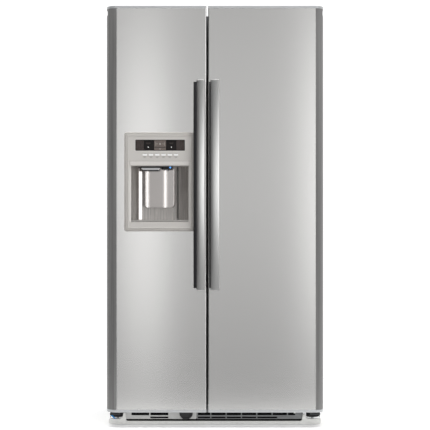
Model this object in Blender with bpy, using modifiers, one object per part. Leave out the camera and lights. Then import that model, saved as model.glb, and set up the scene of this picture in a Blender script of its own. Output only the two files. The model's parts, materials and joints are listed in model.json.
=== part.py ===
"""Side by side refrigerator with a through-the-door ice and water dispenser.

Metres, +Z up. The origin is on the floor, under the middle of the whole object. The doors face -Y, the
freezer door is on the left (-X) and the fridge door on the right (+X).
"""
import math

import bmesh
import bpy
from mathutils import Matrix, Vector

# Driving dimensions -------------------------------------------------------------------------------------
FIT = 0.0003            # gap kept between two pieces that touch

CASE_HALF = 0.451       # half the cabinet's width
CASE_TOP = 1.712
CASE_FLOOR = 0.085      # underside of the insulated cabinet
CASE_FRONT = -0.234     # front plane of the cabinet, which the gaskets meet
CASE_REAR = 0.375
SHEET = 0.0012          # case steel
FOAM_REAR = CASE_REAR - 0.002
BACK_LAP = 0.0015       # depth left behind the case for the back panel
BACK_SHEET = 0.0012
PAST = 0.010            # how far a cutting shape runs past the face it opens

LINER = 0.002           # wall of the moulded compartment liners
ROOM_FLOOR = 0.135      # inside of both compartments
ROOM_TOP = 1.655
ROOM_REAR = 0.315
HUMP_TOP = 0.395        # the floor steps up over the machine compartment
HUMP_FRONT = 0.060
FREEZER_ROOM = (-0.391, -0.062)
FRIDGE_ROOM = (-0.002, 0.401)

MACHINE_FRONT = 0.115   # compressor compartment, low at the rear
MACHINE_TOP = 0.335

DOOR_HALF = 0.450       # outer side of both doors
DOOR_GAP = (-0.0358, -0.0282)
DOOR_LOW = 0.064
DOOR_HIGH = 1.744
DOOR_THICK = 0.073
GASKET_DEPTH = 0.016
DOOR_REAR = CASE_FRONT - GASKET_DEPTH
DOOR_FACE = DOOR_REAR - DOOR_THICK
DOOR_CORNER = 0.004     # rounded edge beside the gap between the doors
SKIN = 0.001
SKIN_HEM = 0.010        # how deep the skin turns back beside the trim
SKIN_EDGE = 0.012       # the skin stops this far before the back of the door
SEAM = 0.0005
FREEZER_TRIM = 0.0425   # width of the rounded outer side of each door, seen from the front
FRIDGE_TRIM = 0.0335
TRIM_DEEP = 0.055
TRIM_WALL = 0.0025
TRIM_HEM = 0.012
CAP_PLATE = 0.0095
TOP_CAP_DEEP = 0.044
BOTTOM_CAP = 0.011
DIKE = 0.030            # raised rim on the inside of each door
DIKE_WALL = 0.025
DIKE_LOW = 0.150
DIKE_HIGH = 1.640
DIKE_CORNER = 0.010
OVERLAP = 0.003         # how far fused shapes run into each other
GASKET_OUTER = 0.427
GASKET_FROM_GAP = 0.005
GASKET_Z = (0.098, 1.688)
GASKET_WIDE = 0.019
GASKET_TALL = 0.020
FREEZER_DIKE = (-0.376, -0.080)
FRIDGE_DIKE = (0.018, 0.386)
BIN_DEEP = 0.103        # how far bins and the dairy box reach behind the door

HINGE_X = DOOR_HALF - 0.022
HINGE_Y = CASE_FRONT - 0.032
PIN = 0.005
PIN_ROOM = PIN + 0.0003
POCKET_Z = (1.708, 1.731)

HANDLE_LOW = 0.569
HANDLE_HIGH = 1.439
HANDLE_WIDE = 0.038
HANDLE_OUT = 0.052      # how far the bow stands out in the middle
HANDLE_BAR = 0.016
HANDLE_FOOT = 0.050
HANDLE_FROM_GAP = 0.012

FRAME_X = (-0.375, -0.081)
FRAME_Z = (0.812, 1.222)
FRAME_PROUD = 0.008
FRAME_BACK = DOOR_FACE + 0.011
FRAME_CORNER = 0.010
NICHE_X = (-0.346, -0.110)
NICHE_Z = (0.853, 1.082)
NICHE_BACK = DOOR_FACE + 0.080
NICHE_WALL = 0.002
NICHE_CORNER = 0.034
DISPLAY_X = (-0.329, -0.124)
DISPLAY_Z = (1.145, 1.191)
BUTTON_FIRST_X = -0.290
BUTTON_PITCH = 0.0258
BUTTON_Z = 1.129
BUTTON_SIZE = (0.018, 0.0145, 0.008)
BUTTON_ROOM = 0.0004
CHUTE_X = (-0.305, -0.226)
CHUTE_MOUTH_Y = (-0.310, -0.262)
BULGE_REAR = -0.178
BULGE_Z = (0.825, 1.200)
PADDLE_X = (-0.296, -0.167)
PADDLE_Z = (0.911, 1.070)
PADDLE_Y = -0.272

SHELF_SIDE = 0.0015
STORE_FRONT = -0.135    # front edge of shelves and drawers
SHELF_REAR = 0.310
COVER_Y = 0.2425        # evaporator cover
BUCKET_Z = (1.215, 1.400)
AUGER_Z = 1.2555
CRISPER_REAR = 0.052    # the lowest drawers end at the step in the floor
SHELF_THICK = 0.012
AUGER_X = (CHUTE_X[0] + CHUTE_X[1]) / 2

GRILLE_HALF = 0.443
GRILLE_FRONT = -0.240
GRILLE_REAR = -0.2223
GRILLE_NOTCH = 0.377    # beyond this the grille is low, below the hinge brackets
GRILLE_NOTCH_TOP = 0.028
FILTER_X = -0.121
FILTER_Z = 0.052
FILTER_CAP = 0.028
CHASSIS_HALF = 0.440
CHASSIS_WALL = 0.0025
CHASSIS_Y = (-0.222, 0.370)
RAIL_LOW = 0.030        # underside of the chassis's side rails
GLIDE_INNER = 0.405     # the rear glides run from here to the chassis's sides
GLIDE_Y = (0.325, 0.362)
GLIDE_TOP = 0.084
FOOT_X = 0.410
FOOT_Y = -0.196
STEM_HOLE = 0.0068      # in the lower hinge bracket, for the foot's stem

# Colours: name -> (red, green, blue), roughness, metallic -----------------------------------------------
FINISHES = {
    "brushed_steel": ((0.62, 0.61, 0.60), 0.35, 1.0),
    "trim_grey": ((0.16, 0.16, 0.16), 0.40, 0.6),
    "cap_silver": ((0.60, 0.61, 0.62), 0.35, 0.3),
    "handle_metal": ((0.50, 0.50, 0.49), 0.30, 1.0),
    "case_grey": ((0.20, 0.20, 0.21), 0.55, 0.2),
    "zinc": ((0.55, 0.56, 0.57), 0.45, 0.9),
    "foam": ((0.86, 0.80, 0.60), 0.90, 0.0),
    "liner_white": ((0.90, 0.90, 0.89), 0.45, 0.0),
    "seal_grey": ((0.45, 0.46, 0.47), 0.70, 0.0),
    "bezel_taupe": ((0.52, 0.50, 0.47), 0.40, 0.1),
    "niche_metal": ((0.45, 0.43, 0.42), 0.25, 0.9),
    "window_black": ((0.03, 0.03, 0.03), 0.10, 0.0),
    "button_white": ((0.90, 0.90, 0.89), 0.35, 0.0),
    "black_plastic": ((0.03, 0.03, 0.035), 0.50, 0.0),
    "base_silver": ((0.60, 0.60, 0.57), 0.40, 0.2),
    "clear_plastic": ((0.80, 0.85, 0.88), 0.10, 0.0),
    "glass": ((0.75, 0.85, 0.82), 0.05, 0.0),
    "black_enamel": ((0.02, 0.02, 0.02), 0.35, 0.3),
    "copper": ((0.72, 0.38, 0.22), 0.35, 1.0),
    "aluminium": ((0.75, 0.76, 0.78), 0.35, 1.0),
}

for old in list(bpy.data.objects):
    bpy.data.objects.remove(old, do_unlink=True)

refrigerator = bpy.data.collections.new("side_by_side_refrigerator")
cutters = bpy.data.collections.new("cutters")
bpy.context.scene.collection.children.link(refrigerator)
bpy.context.scene.collection.children.link(cutters)


# Shared tools -------------------------------------------------------------------------------------------
def finish(name):
    """The Principled material of that name, made on first use."""
    if name in bpy.data.materials:
        return bpy.data.materials[name]
    colour, roughness, metallic = FINISHES[name]
    look = bpy.data.materials.new(name)
    look.use_nodes = True
    shader = look.node_tree.nodes["Principled BSDF"]
    shader.inputs["Base Color"].default_value = (*colour, 1)
    shader.inputs["Roughness"].default_value = roughness
    shader.inputs["Metallic"].default_value = metallic
    return look


def add_part(name, mesh, look, smooth_below=None):
    """A named sub-part. Round ones are shaded smooth across edges under smooth_below degrees."""
    mesh.materials.clear()
    mesh.materials.append(finish(look))
    part = bpy.data.objects.new(name, mesh)
    refrigerator.objects.link(part)
    if smooth_below:
        mesh.shade_smooth()
        mesh.set_sharp_from_angle(angle=math.radians(smooth_below))
    return part


def add_cutter(name, mesh):
    cutter = bpy.data.objects.new(name, mesh)
    cutter.hide_render = True
    cutter.display_type = "WIRE"
    cutters.objects.link(cutter)
    return cutter


def combine(part, operation, *meshes):
    """Cut the meshes out of a part, or join them to it, one Boolean each."""
    for number, mesh in enumerate(meshes):
        tool = add_cutter(f"{part.name}_{operation.lower()}_{number}_{len(part.modifiers)}", mesh)
        step = part.modifiers.new(tool.name, "BOOLEAN")
        step.operation = operation
        step.solver = "EXACT"
        step.object = tool
    return part


def cut(part, *meshes):
    return combine(part, "DIFFERENCE", *meshes)


def fuse(part, *meshes):
    return combine(part, "UNION", *meshes)


def box_mesh(*spans):
    """One box for each ((x, x), (y, y), (z, z)); the ends of a span may come in either order."""
    shape = bmesh.new()
    for span in spans:
        low = Vector(min(side) for side in span)
        high = Vector(max(side) for side in span)
        place = Matrix.Translation((low + high) / 2) @ Matrix.Diagonal((*(high - low), 1))
        bmesh.ops.create_cube(shape, size=1, matrix=place)
    return bake(shape, "box")


def bake(shape, name):
    mesh = bpy.data.meshes.new(name)
    shape.to_mesh(mesh)
    shape.free()
    return mesh


def cylinder_mesh(centre, radius, length, axis="Z", segments=24):
    """A closed cylinder about its centre, along one axis."""
    turns = {"X": Matrix.Rotation(math.pi / 2, 4, "Y"), "Y": Matrix.Rotation(math.pi / 2, 4, "X"),
             "Z": Matrix.Identity(4)}
    shape = bmesh.new()
    bmesh.ops.create_cone(shape, cap_ends=True, segments=segments, radius1=radius, radius2=radius,
                          depth=length, matrix=Matrix.Translation(centre) @ turns[axis])
    return bake(shape, "cylinder")


def evaluated_mesh(thing):
    """The mesh that an object shows once its modifiers or its curve are worked out."""
    bpy.context.scene.collection.objects.link(thing)
    bpy.context.view_layer.update()
    mesh = bpy.data.meshes.new_from_object(thing.evaluated_get(bpy.context.evaluated_depsgraph_get()))
    bpy.data.objects.remove(thing)
    return mesh


def tidy_mesh(mesh, place=None):
    """Weld a mesh's seams, put it in place and turn its faces outwards."""
    shape = bmesh.new()
    shape.from_mesh(mesh)
    bmesh.ops.remove_doubles(shape, verts=shape.verts, dist=0.00001)
    if place:
        shape.transform(place)
        shape.normal_update()
    bmesh.ops.recalc_face_normals(shape, faces=shape.faces)
    return bake(shape, mesh.name)


def prism_mesh(axis, low, high, *outlines):
    """Flat outlines made thick from low to high along an axis; outlines after the first are holes.

    An outline is drawn in the two other axes: (x, y) for Z, (y, z) for X and (x, z) for Y.
    """
    curve = bpy.data.curves.new("outline", "CURVE")
    curve.dimensions = "2D"
    curve.fill_mode = "BOTH"
    curve.extrude = (high - low) / 2
    for outline in outlines:
        spline = curve.splines.new("POLY")
        spline.points.add(len(outline) - 1)
        for point, (u, v) in zip(spline.points, outline):
            point.co = (u, v, 0, 1)
        spline.use_cyclic_u = True
    frames = {"Z": Matrix.Identity(4),
              "X": Matrix(((0, 0, 1, 0), (1, 0, 0, 0), (0, 1, 0, 0), (0, 0, 0, 1))),
              "Y": Matrix(((1, 0, 0, 0), (0, 0, 1, 0), (0, 1, 0, 0), (0, 0, 0, 1)))}
    shift = {"X": Vector((1, 0, 0)), "Y": Vector((0, 1, 0)), "Z": Vector((0, 0, 1))}[axis]
    flat = evaluated_mesh(bpy.data.objects.new("outline", curve))
    return tidy_mesh(flat, Matrix.Translation(shift * (low + high) / 2) @ frames[axis])


def tube_mesh(points, radius, resolution=2):
    """A round tube with filled ends along points."""
    curve = bpy.data.curves.new("tube", "CURVE")
    curve.dimensions = "3D"
    curve.bevel_depth = radius
    curve.bevel_resolution = resolution
    curve.use_fill_caps = True
    spline = curve.splines.new("POLY")
    spline.points.add(len(points) - 1)
    for point, place in zip(spline.points, points):
        point.co = (*place, 1)
    return tidy_mesh(evaluated_mesh(bpy.data.objects.new("tube", curve)))


def turned_mesh(profile, centre, steps=24):
    """A profile of (radius, height) points, top to bottom, turned about Z."""
    mesh = bpy.data.meshes.new("turned")
    mesh.from_pydata([(radius, 0, height) for radius, height in profile],
                     [(n, n + 1) for n in range(len(profile) - 1)], [])
    turned = bpy.data.objects.new("turned", mesh)
    screw = turned.modifiers.new("turn", "SCREW")
    screw.steps = steps
    screw.render_steps = steps
    screw.use_merge_vertices = True
    screw.merge_threshold = 0.00001
    return tidy_mesh(evaluated_mesh(turned), Matrix.Translation(centre))


def arc(centre, radii, start, end, steps):
    """Points on an ellipse's arc, from start to end degrees."""
    angles = [math.radians(start + (end - start) * n / steps) for n in range(steps + 1)]
    return [(centre[0] + radii[0] * math.cos(a), centre[1] + radii[1] * math.sin(a)) for a in angles]


def rounded(x, y, radius, steps=4):
    """A rectangle's outline with round corners."""
    corners = (((x[1], y[1]), 0), ((x[0], y[1]), 90), ((x[0], y[0]), 180), ((x[1], y[0]), 270))
    points = []
    for (corner_x, corner_y), start in corners:
        inward_x = -radius if corner_x == x[1] else radius
        inward_y = -radius if corner_y == y[1] else radius
        centre = (corner_x + inward_x, corner_y + inward_y)
        points += arc(centre, (radius, radius), start, start + 90, steps)
    return points


def rectangle(x, y):
    return [(x[0], y[0]), (x[1], y[0]), (x[1], y[1]), (x[0], y[1])]


def grown(span, amount):
    return (span[0] - amount, span[1] + amount)


def middle(span):
    return (span[0] + span[1]) / 2


def centre_on(part, point):
    """Move a part's origin to a point, such as one on its joint's axis, and leave its shape in place."""
    part.data.transform(Matrix.Translation(-Vector(point)))
    part.location = point
    return part


# Cabinet ------------------------------------------------------------------------------------------------
def room_outline(grow, front):
    """Side view of a compartment: an L, because its floor steps up over the machine compartment."""
    low, top = ROOM_FLOOR - grow, ROOM_TOP + grow
    rear, step_y, step_z = ROOM_REAR + grow, HUMP_FRONT + grow, HUMP_TOP - grow
    return [(front, low), (step_y, low), (step_y, step_z), (rear, step_z), (rear, top), (front, top)]


def room_mesh(room, grow, front=CASE_FRONT):
    return prism_mesh("X", room[0] - grow, room[1] + grow, room_outline(grow, front))


def make_cabinet():
    inside = CASE_HALF - SHEET
    mouth = LINER + FIT
    case = add_part("outer_case", box_mesh(((-CASE_HALF, CASE_HALF), (CASE_FRONT, CASE_REAR - BACK_LAP),
                                            (CASE_FLOOR, CASE_TOP))), "case_grey")
    cut(case, box_mesh(((-inside, inside), (CASE_FRONT + SHEET, CASE_REAR + PAST),
                        (CASE_FLOOR - PAST, CASE_TOP - SHEET))))
    for room in (FREEZER_ROOM, FRIDGE_ROOM):
        cut(case, box_mesh((grown(room, mouth), grown((CASE_FRONT, CASE_FRONT + SHEET), 0.003),
                            (ROOM_FLOOR - mouth, ROOM_TOP + mouth))))
    foam = add_part("cabinet_foam", box_mesh((grown((-inside, inside), -FIT),
                                              (CASE_FRONT + SHEET + FIT, FOAM_REAR),
                                              (CASE_FLOOR + FIT, CASE_TOP - SHEET - FIT))), "foam")
    open_front = CASE_FRONT - PAST
    wider = CASE_HALF + 5 * PAST
    cut(foam, room_mesh(FREEZER_ROOM, mouth, open_front), room_mesh(FRIDGE_ROOM, mouth, open_front),
        box_mesh(((-wider, wider), (MACHINE_FRONT, CASE_REAR + PAST), (CASE_FLOOR - PAST, MACHINE_TOP))))
    for name, room in (("freezer_liner", FREEZER_ROOM), ("fridge_liner", FRIDGE_ROOM)):
        liner = add_part(name, room_mesh(room, LINER), "liner_white")
        cut(liner, room_mesh(room, 0, open_front))
    seam = MACHINE_TOP + 0.0053     # the machine cover ends just below it
    add_part("back_panel", box_mesh(((-CASE_HALF, CASE_HALF), (CASE_REAR - BACK_SHEET, CASE_REAR),
                                     (seam, CASE_TOP))), "zinc")


def make_base():
    high = CASE_FLOOR - FIT
    inner, plate = CHASSIS_HALF - CHASSIS_WALL, high - CHASSIS_WALL
    channel = [(-CHASSIS_HALF, RAIL_LOW), (-inner, RAIL_LOW), (-inner, plate), (inner, plate),
               (inner, RAIL_LOW), (CHASSIS_HALF, RAIL_LOW), (CHASSIS_HALF, high), (-CHASSIS_HALF, high)]
    chassis = add_part("base_chassis", prism_mesh("Y", *CHASSIS_Y, channel), "zinc")
    outer = CHASSIS_HALF - 0.0008
    for side in (-1, 1):
        fuse(chassis, box_mesh(((side * GLIDE_INNER, side * outer), GLIDE_Y, (0, GLIDE_TOP))))

    centre, notch, top = GRILLE_HALF, GRILLE_NOTCH, 0.083
    corner, corner_z = 0.012, 0.018
    outline = (arc((centre - corner, corner_z), (corner, corner), -90, 0, 4)
               + [(centre, GRILLE_NOTCH_TOP), (notch, GRILLE_NOTCH_TOP), (notch, top), (-notch, top),
                  (-notch, GRILLE_NOTCH_TOP), (-centre, GRILLE_NOTCH_TOP)]
               + arc((-centre + corner, corner_z), (corner, corner), 180, 270, 4))
    grille = add_part("base_grille", prism_mesh("Y", GRILLE_FRONT, GRILLE_REAR, outline), "base_silver")
    # Two sunk panels with round lower corners, and a shallower flat between them round the filter cap.
    ahead, panel_z, panel_corner = GRILLE_FRONT - 0.002, (0.024, 0.120), 0.017
    sunk, flat = GRILLE_FRONT + 0.008, GRILLE_FRONT + 0.004
    cut(grille, prism_mesh("Y", ahead, sunk, rounded((-0.365, -0.194), panel_z, panel_corner)),
        prism_mesh("Y", ahead, sunk, rounded((-0.081, 0.365), panel_z, panel_corner)),
        prism_mesh("Y", ahead, flat, rectangle((-0.196, -0.079), panel_z)))
    # Air slots: where a row starts, how many it has, and its height.
    pitch, bar = 0.0647, 0.003
    depth = (GRILLE_FRONT + 0.005, GRILLE_REAR + 0.003)
    upper, lower = (0.0435, 0.0500), (0.0310, 0.0355)
    rows = ((-0.0827, 6, upper), (-0.0827, 5, lower), (-0.3415, 2, upper), (-0.2768, 1, lower))
    cut(grille, box_mesh(*(((start + n * pitch + bar, start + (n + 1) * pitch), depth, z)
                           for start, count, z in rows for n in range(count))))
    cap_room = FILTER_CAP + 0.001
    cut(grille, cylinder_mesh((FILTER_X, GRILLE_FRONT, FILTER_Z), cap_room, 0.06, "Y"))

    cap_deep, cartridge, cartridge_long, cartridge_y = 0.016, 0.023, 0.200, -0.130
    cap = add_part("filter_cap", cylinder_mesh((FILTER_X, GRILLE_FRONT + cap_deep / 2, FILTER_Z), FILTER_CAP,
                                               cap_deep, "Y"), "black_plastic", 40)
    rib, rib_reach = 0.0025, 0.022
    fuse(cap, cylinder_mesh((FILTER_X, cartridge_y, FILTER_Z), cartridge, cartridge_long, "Y", 16),
         box_mesh((grown((FILTER_X, FILTER_X), rib), (GRILLE_FRONT - 0.005, GRILLE_FRONT + 0.002),
                   grown((FILTER_Z, FILTER_Z), rib_reach))))
    centre_on(cap, (FILTER_X, GRILLE_FRONT, FILTER_Z))

    # A levelling foot: its stem, thumb wheel and pad.
    stem, wheel, pad = 0.006, 0.0265, 0.016
    stem_top, wheel_z, pad_neck, pad_top = 0.079, (0.033, 0.047), 0.012, 0.008
    profile = [(0, stem_top), (stem, stem_top), (stem, wheel_z[1]), (wheel, wheel_z[1]), (wheel, wheel_z[0]),
               (stem, wheel_z[0]), (stem, pad_neck), (pad, pad_top), (pad, 0), (0, 0)]
    for name, side in (("foot_left", -1), ("foot_right", 1)):
        foot = add_part(name, turned_mesh(profile, (0, 0, 0), 16), "black_plastic", 40)
        foot.location = (side * FOOT_X, FOOT_Y, 0)


def make_hinges():
    bracket, reach, rear = (0.050, 0.056), 0.022, -0.150
    bracket_x, riser = (0.398, 0.437), 0.006
    stub_low, stub_high, stub = 0.0645, 1.708, (0.0195, 0.013)
    plate_low = CASE_TOP + 2 * FIT
    plate_high = plate_low + 0.004
    narrow, wide, step_y = 0.012, 0.048, -0.215
    for name, side in (("left", -1), ("right", 1)):
        pin = side * HINGE_X
        chassis_plate = CASE_FLOOR - 2 * FIT - CHASSIS_WALL
        profile = [(HINGE_Y - reach, bracket[0]), (rear, bracket[0]), (rear, chassis_plate),
                   (rear - riser, chassis_plate), (rear - riser, bracket[1]), (HINGE_Y - reach, bracket[1])]
        inner, outer = sorted(side * x for x in bracket_x)
        lower = add_part(f"hinge_bottom_{name}", prism_mesh("X", inner, outer, profile), "black_enamel")
        cut(lower, cylinder_mesh((side * FOOT_X, FOOT_Y, middle(bracket)), STEM_HOLE, 0.02, "Z", 16))
        fuse(lower, cylinder_mesh((pin, HINGE_Y, stub_low), PIN, stub[0]))
        front = HINGE_Y - narrow
        outline = ((-narrow, front), (narrow, front), (narrow, rear), (-wide, rear), (-wide, step_y),
                   (-narrow, step_y))
        arm = [(pin + side * dx, y) for dx, y in outline]
        upper = add_part(f"hinge_top_{name}", prism_mesh("Z", plate_low, plate_high, arm), "zinc")
        fuse(upper, cylinder_mesh((pin, HINGE_Y, stub_high), PIN, stub[1]))


# Machine compartment and cooling ------------------------------------------------------------------------
def make_machinery():
    floor = CASE_FLOOR
    place, plate_x, plate_y, plate = (0.220, 0.245), (0.130, 0.310), (0.185, 0.305), 0.004
    dome = [(0, 0.170), (0.035, 0.166), (0.062, 0.150), (0.078, 0.118), (0.080, 0.085), (0.078, 0.050),
            (0.060, 0.022), (0.030, 0.012), (0, 0.010)]
    compressor = add_part("compressor", turned_mesh(dome, (*place, floor)), "black_enamel", 60)
    leg, leg_tall = 0.010, 0.022
    fuse(compressor, box_mesh((plate_x, plate_y, (floor, floor + plate))),
         *(cylinder_mesh((x, y, floor + 0.012), leg, leg_tall, "Z", 12)
           for x in (0.185, 0.255) for y in (0.215, 0.275)))

    # The condenser: one tube that runs to and fro in two upright rows.
    runs, rows = 6, 2
    left, right = -0.400, -0.170
    first_y, row_apart, first_z, run_apart, tube = 0.175, 0.075, 0.100, 0.036, 0.004
    points = []
    for row in range(rows):
        y = first_y + row * row_apart
        for run in range(runs):
            z = first_z + (run if row == 0 else runs - 1 - run) * run_apart
            ends = (left, right) if run % 2 == 0 else (right, left)
            if row == 1:
                ends = ends[::-1]
            points += [(ends[0], y, z), (ends[1], y, z)]
    add_part("condenser_coil", tube_mesh(points, tube), "black_enamel", 60)

    blades, hub, tip, half_blade, half_gap = 5, 0.016, 0.070, 20, 12
    fan_x, fan_y, fan_z = -0.066, 0.230, 0.200
    turn = 360 / blades
    outline = []
    for blade in range(blades):
        angle = turn * blade
        root = angle + turn / 2
        outline += arc((fan_y, fan_z), (tip, tip), angle - half_blade, angle + half_blade, 4)
        outline += arc((fan_y, fan_z), (hub, hub), root - half_gap, root + half_gap, 2)
    fan = add_part("condenser_fan", prism_mesh("X", fan_x - 0.009, fan_x - 0.001, outline), "black_plastic")
    fuse(fan, cylinder_mesh((fan_x, fan_y, fan_z), 0.020, 0.030, "X"))
    centre_on(fan, (fan_x, fan_y, fan_z))

    rear = (CASE_REAR - BACK_LAP, CASE_REAR)
    cover_half, cover_top = 0.4493, 0.3395
    cover_z = (CASE_FLOOR + FIT, cover_top)
    cover = add_part("machine_cover", box_mesh(((-cover_half, cover_half), rear, cover_z)), "zinc")
    pitch, half_slot, slot_tall, rows = 0.046, 0.017, 0.008, (0.150, 0.185, 0.220, 0.255)
    through = grown(rear, PAST)
    cut(cover, box_mesh(*((grown((x * pitch, x * pitch), half_slot), through, (z, z + slot_tall))
                          for x in range(-8, 9) for z in rows)))
    # The gland for the mains cord.
    gland = (0.380, 0.3650, 0.115)
    fuse(cover, cylinder_mesh(gland, 0.012, 0.0185, "Y", 16))
    cut(cover, cylinder_mesh(gland, 0.006, 0.06, "Y", 12))

    clear = 0.0005
    cover_y = (COVER_Y, COVER_Y + 0.003)
    panel = add_part("evaporator_cover", box_mesh((grown(FREEZER_ROOM, -clear), cover_y,
                                                   (HUMP_TOP + 2 * FIT, ROOM_TOP - FIT))), "liner_white")
    first, pitch, vent, vent_tall, rows = -0.340, 0.042, 0.030, 0.010, (0.430, 0.450, 1.440, 1.460)
    through = grown(cover_y, PAST)
    cut(panel, box_mesh(*(((first + n * pitch, first + vent + n * pitch), through, (z, z + vent_tall))
                          for n in range(6) for z in rows)))

    # The evaporator: upright fins on a spine, drawn in plan.
    ends, first, pitch, fin, count = (-0.375, -0.080), -0.371, 0.0165, 0.002, 18
    fin_front, spine_front, spine_rear = 0.254, 0.300, 0.308
    comb = [(ends[0], spine_rear), (ends[0], spine_front)]
    for n in range(count):
        left = first + n * pitch
        comb += [(left, spine_front), (left, fin_front), (left + fin, fin_front), (left + fin, spine_front)]
    comb += [(ends[1], spine_front), (ends[1], spine_rear)]
    add_part("evaporator", prism_mesh("Z", 0.470, 0.900, comb), "aluminium")


# Inside the freezer and the fridge ----------------------------------------------------------------------
def make_shelf(name, room, z, rear, look="glass"):
    """A plate in a raised rim."""
    x, y = grown(room, -SHELF_SIDE), (STORE_FRONT, rear)
    rim_x, rim_y, above, below = 0.014, 0.016, 0.003, 0.004
    shelf = add_part(name, box_mesh((x, y, z)), look)
    cut(shelf, box_mesh((grown(x, -rim_x), grown(y, -rim_y), (z[1] - above, z[1] + PAST)),
                        (grown(x, -rim_x), grown(y, -rim_y), (z[0] - PAST, z[0] + below))))
    return shelf


def make_tub(name, x, y, z, look, wall=0.003, front=0.003):
    """An open-topped box: a bin, drawer or basket. The front wall may be thicker than the others."""
    tub = add_part(name, box_mesh((x, y, z)), look)
    cut(tub, box_mesh((grown(x, -wall), (y[0] + front, y[1] - wall), (z[0] + wall, z[1] + 2 * PAST))))
    return tub


def make_freezer_interior():
    shelf_rear = 0.240
    make_shelf("freezer_shelf_upper", FREEZER_ROOM, (1.2030, BUCKET_Z[0] - FIT), shelf_rear)
    make_shelf("freezer_shelf_lower", FREEZER_ROOM, (0.790, 0.802), shelf_rear)
    tub_x = grown(FREEZER_ROOM, -0.005)
    make_tub("freezer_basket", tub_x, (STORE_FRONT, CRISPER_REAR), (0.146, 0.370), "clear_plastic")

    bucket = make_tub("ice_bucket", tub_x, (-0.208, 0.190), BUCKET_Z, "clear_plastic")
    outlet_y, outlet_z = (-0.2045, -0.1835), (1.20, 1.23)
    cut(bucket, box_mesh((grown(CHUTE_X, -0.004), outlet_y, outlet_z)))
    turns, pitch, radius, wire, steps = 5.5, 0.062, 0.028, 0.0035, 12
    start_y, end = -0.190, 0.008
    spiral = [(AUGER_X, start_y - end, AUGER_Z)]
    for n in range(int(turns * steps) + 1):
        angle = 2 * math.pi * n / steps
        spiral.append((AUGER_X + radius * math.cos(angle), start_y + pitch * n / steps,
                       AUGER_Z + radius * math.sin(angle)))
    spiral.append((AUGER_X, spiral[-1][1] + end, AUGER_Z))
    auger = add_part("ice_auger", tube_mesh(spiral, wire), "aluminium", 60)
    centre_on(auger, (AUGER_X, 0, AUGER_Z))

    # The ice maker: a trough of half-round section, with a control box, an end plate and a lug to the wall.
    axis, top, outer, inner = (AUGER_X, 1.562), 1.590, 0.050, 0.045
    trough = (arc(axis, (outer, outer), 180, 360, 8) + [(axis[0] + outer, top), (axis[0] + inner, top)]
              + arc(axis, (inner, inner), 360, 180, 8) + [(axis[0] - inner, top), (axis[0] - outer, top)])
    maker = add_part("ice_maker", prism_mesh("Y", -0.040, 0.180, trough), "aluminium", 40)
    fuse(maker, box_mesh((grown((axis[0], axis[0]), 0.062), (-0.085, -0.038), (1.500, 1.625))),
         box_mesh((grown((axis[0], axis[0]), 0.049), (0.170, 0.182), (1.516, 1.589))),
         box_mesh(((FREEZER_ROOM[0] + 0.0004, -0.310), (-0.020, 0.160), (1.584, 1.589))))


def make_fridge_interior():
    for name, z in (("upper", 1.330), ("middle", 1.010), ("lower", 0.640)):
        make_shelf(f"fridge_shelf_{name}", FRIDGE_ROOM, (z, z + SHELF_THICK), SHELF_REAR)
    wall, front, grip_x, grip_deep = 0.003, 0.014, (0.120, 0.280), 0.009
    for name, y, z in (("crisper_upper", (STORE_FRONT, 0.300), (0.402, 0.625)),
                       ("crisper_lower", (STORE_FRONT, CRISPER_REAR), (0.142, 0.388))):
        drawer = make_tub(name, grown(FRIDGE_ROOM, -0.010), y, z, "clear_plastic", wall, front)
        cut(drawer, box_mesh((grip_x, (y[0] - PAST, y[0] + grip_deep), (z[1] - 0.045, z[1] - 0.015))))


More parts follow.
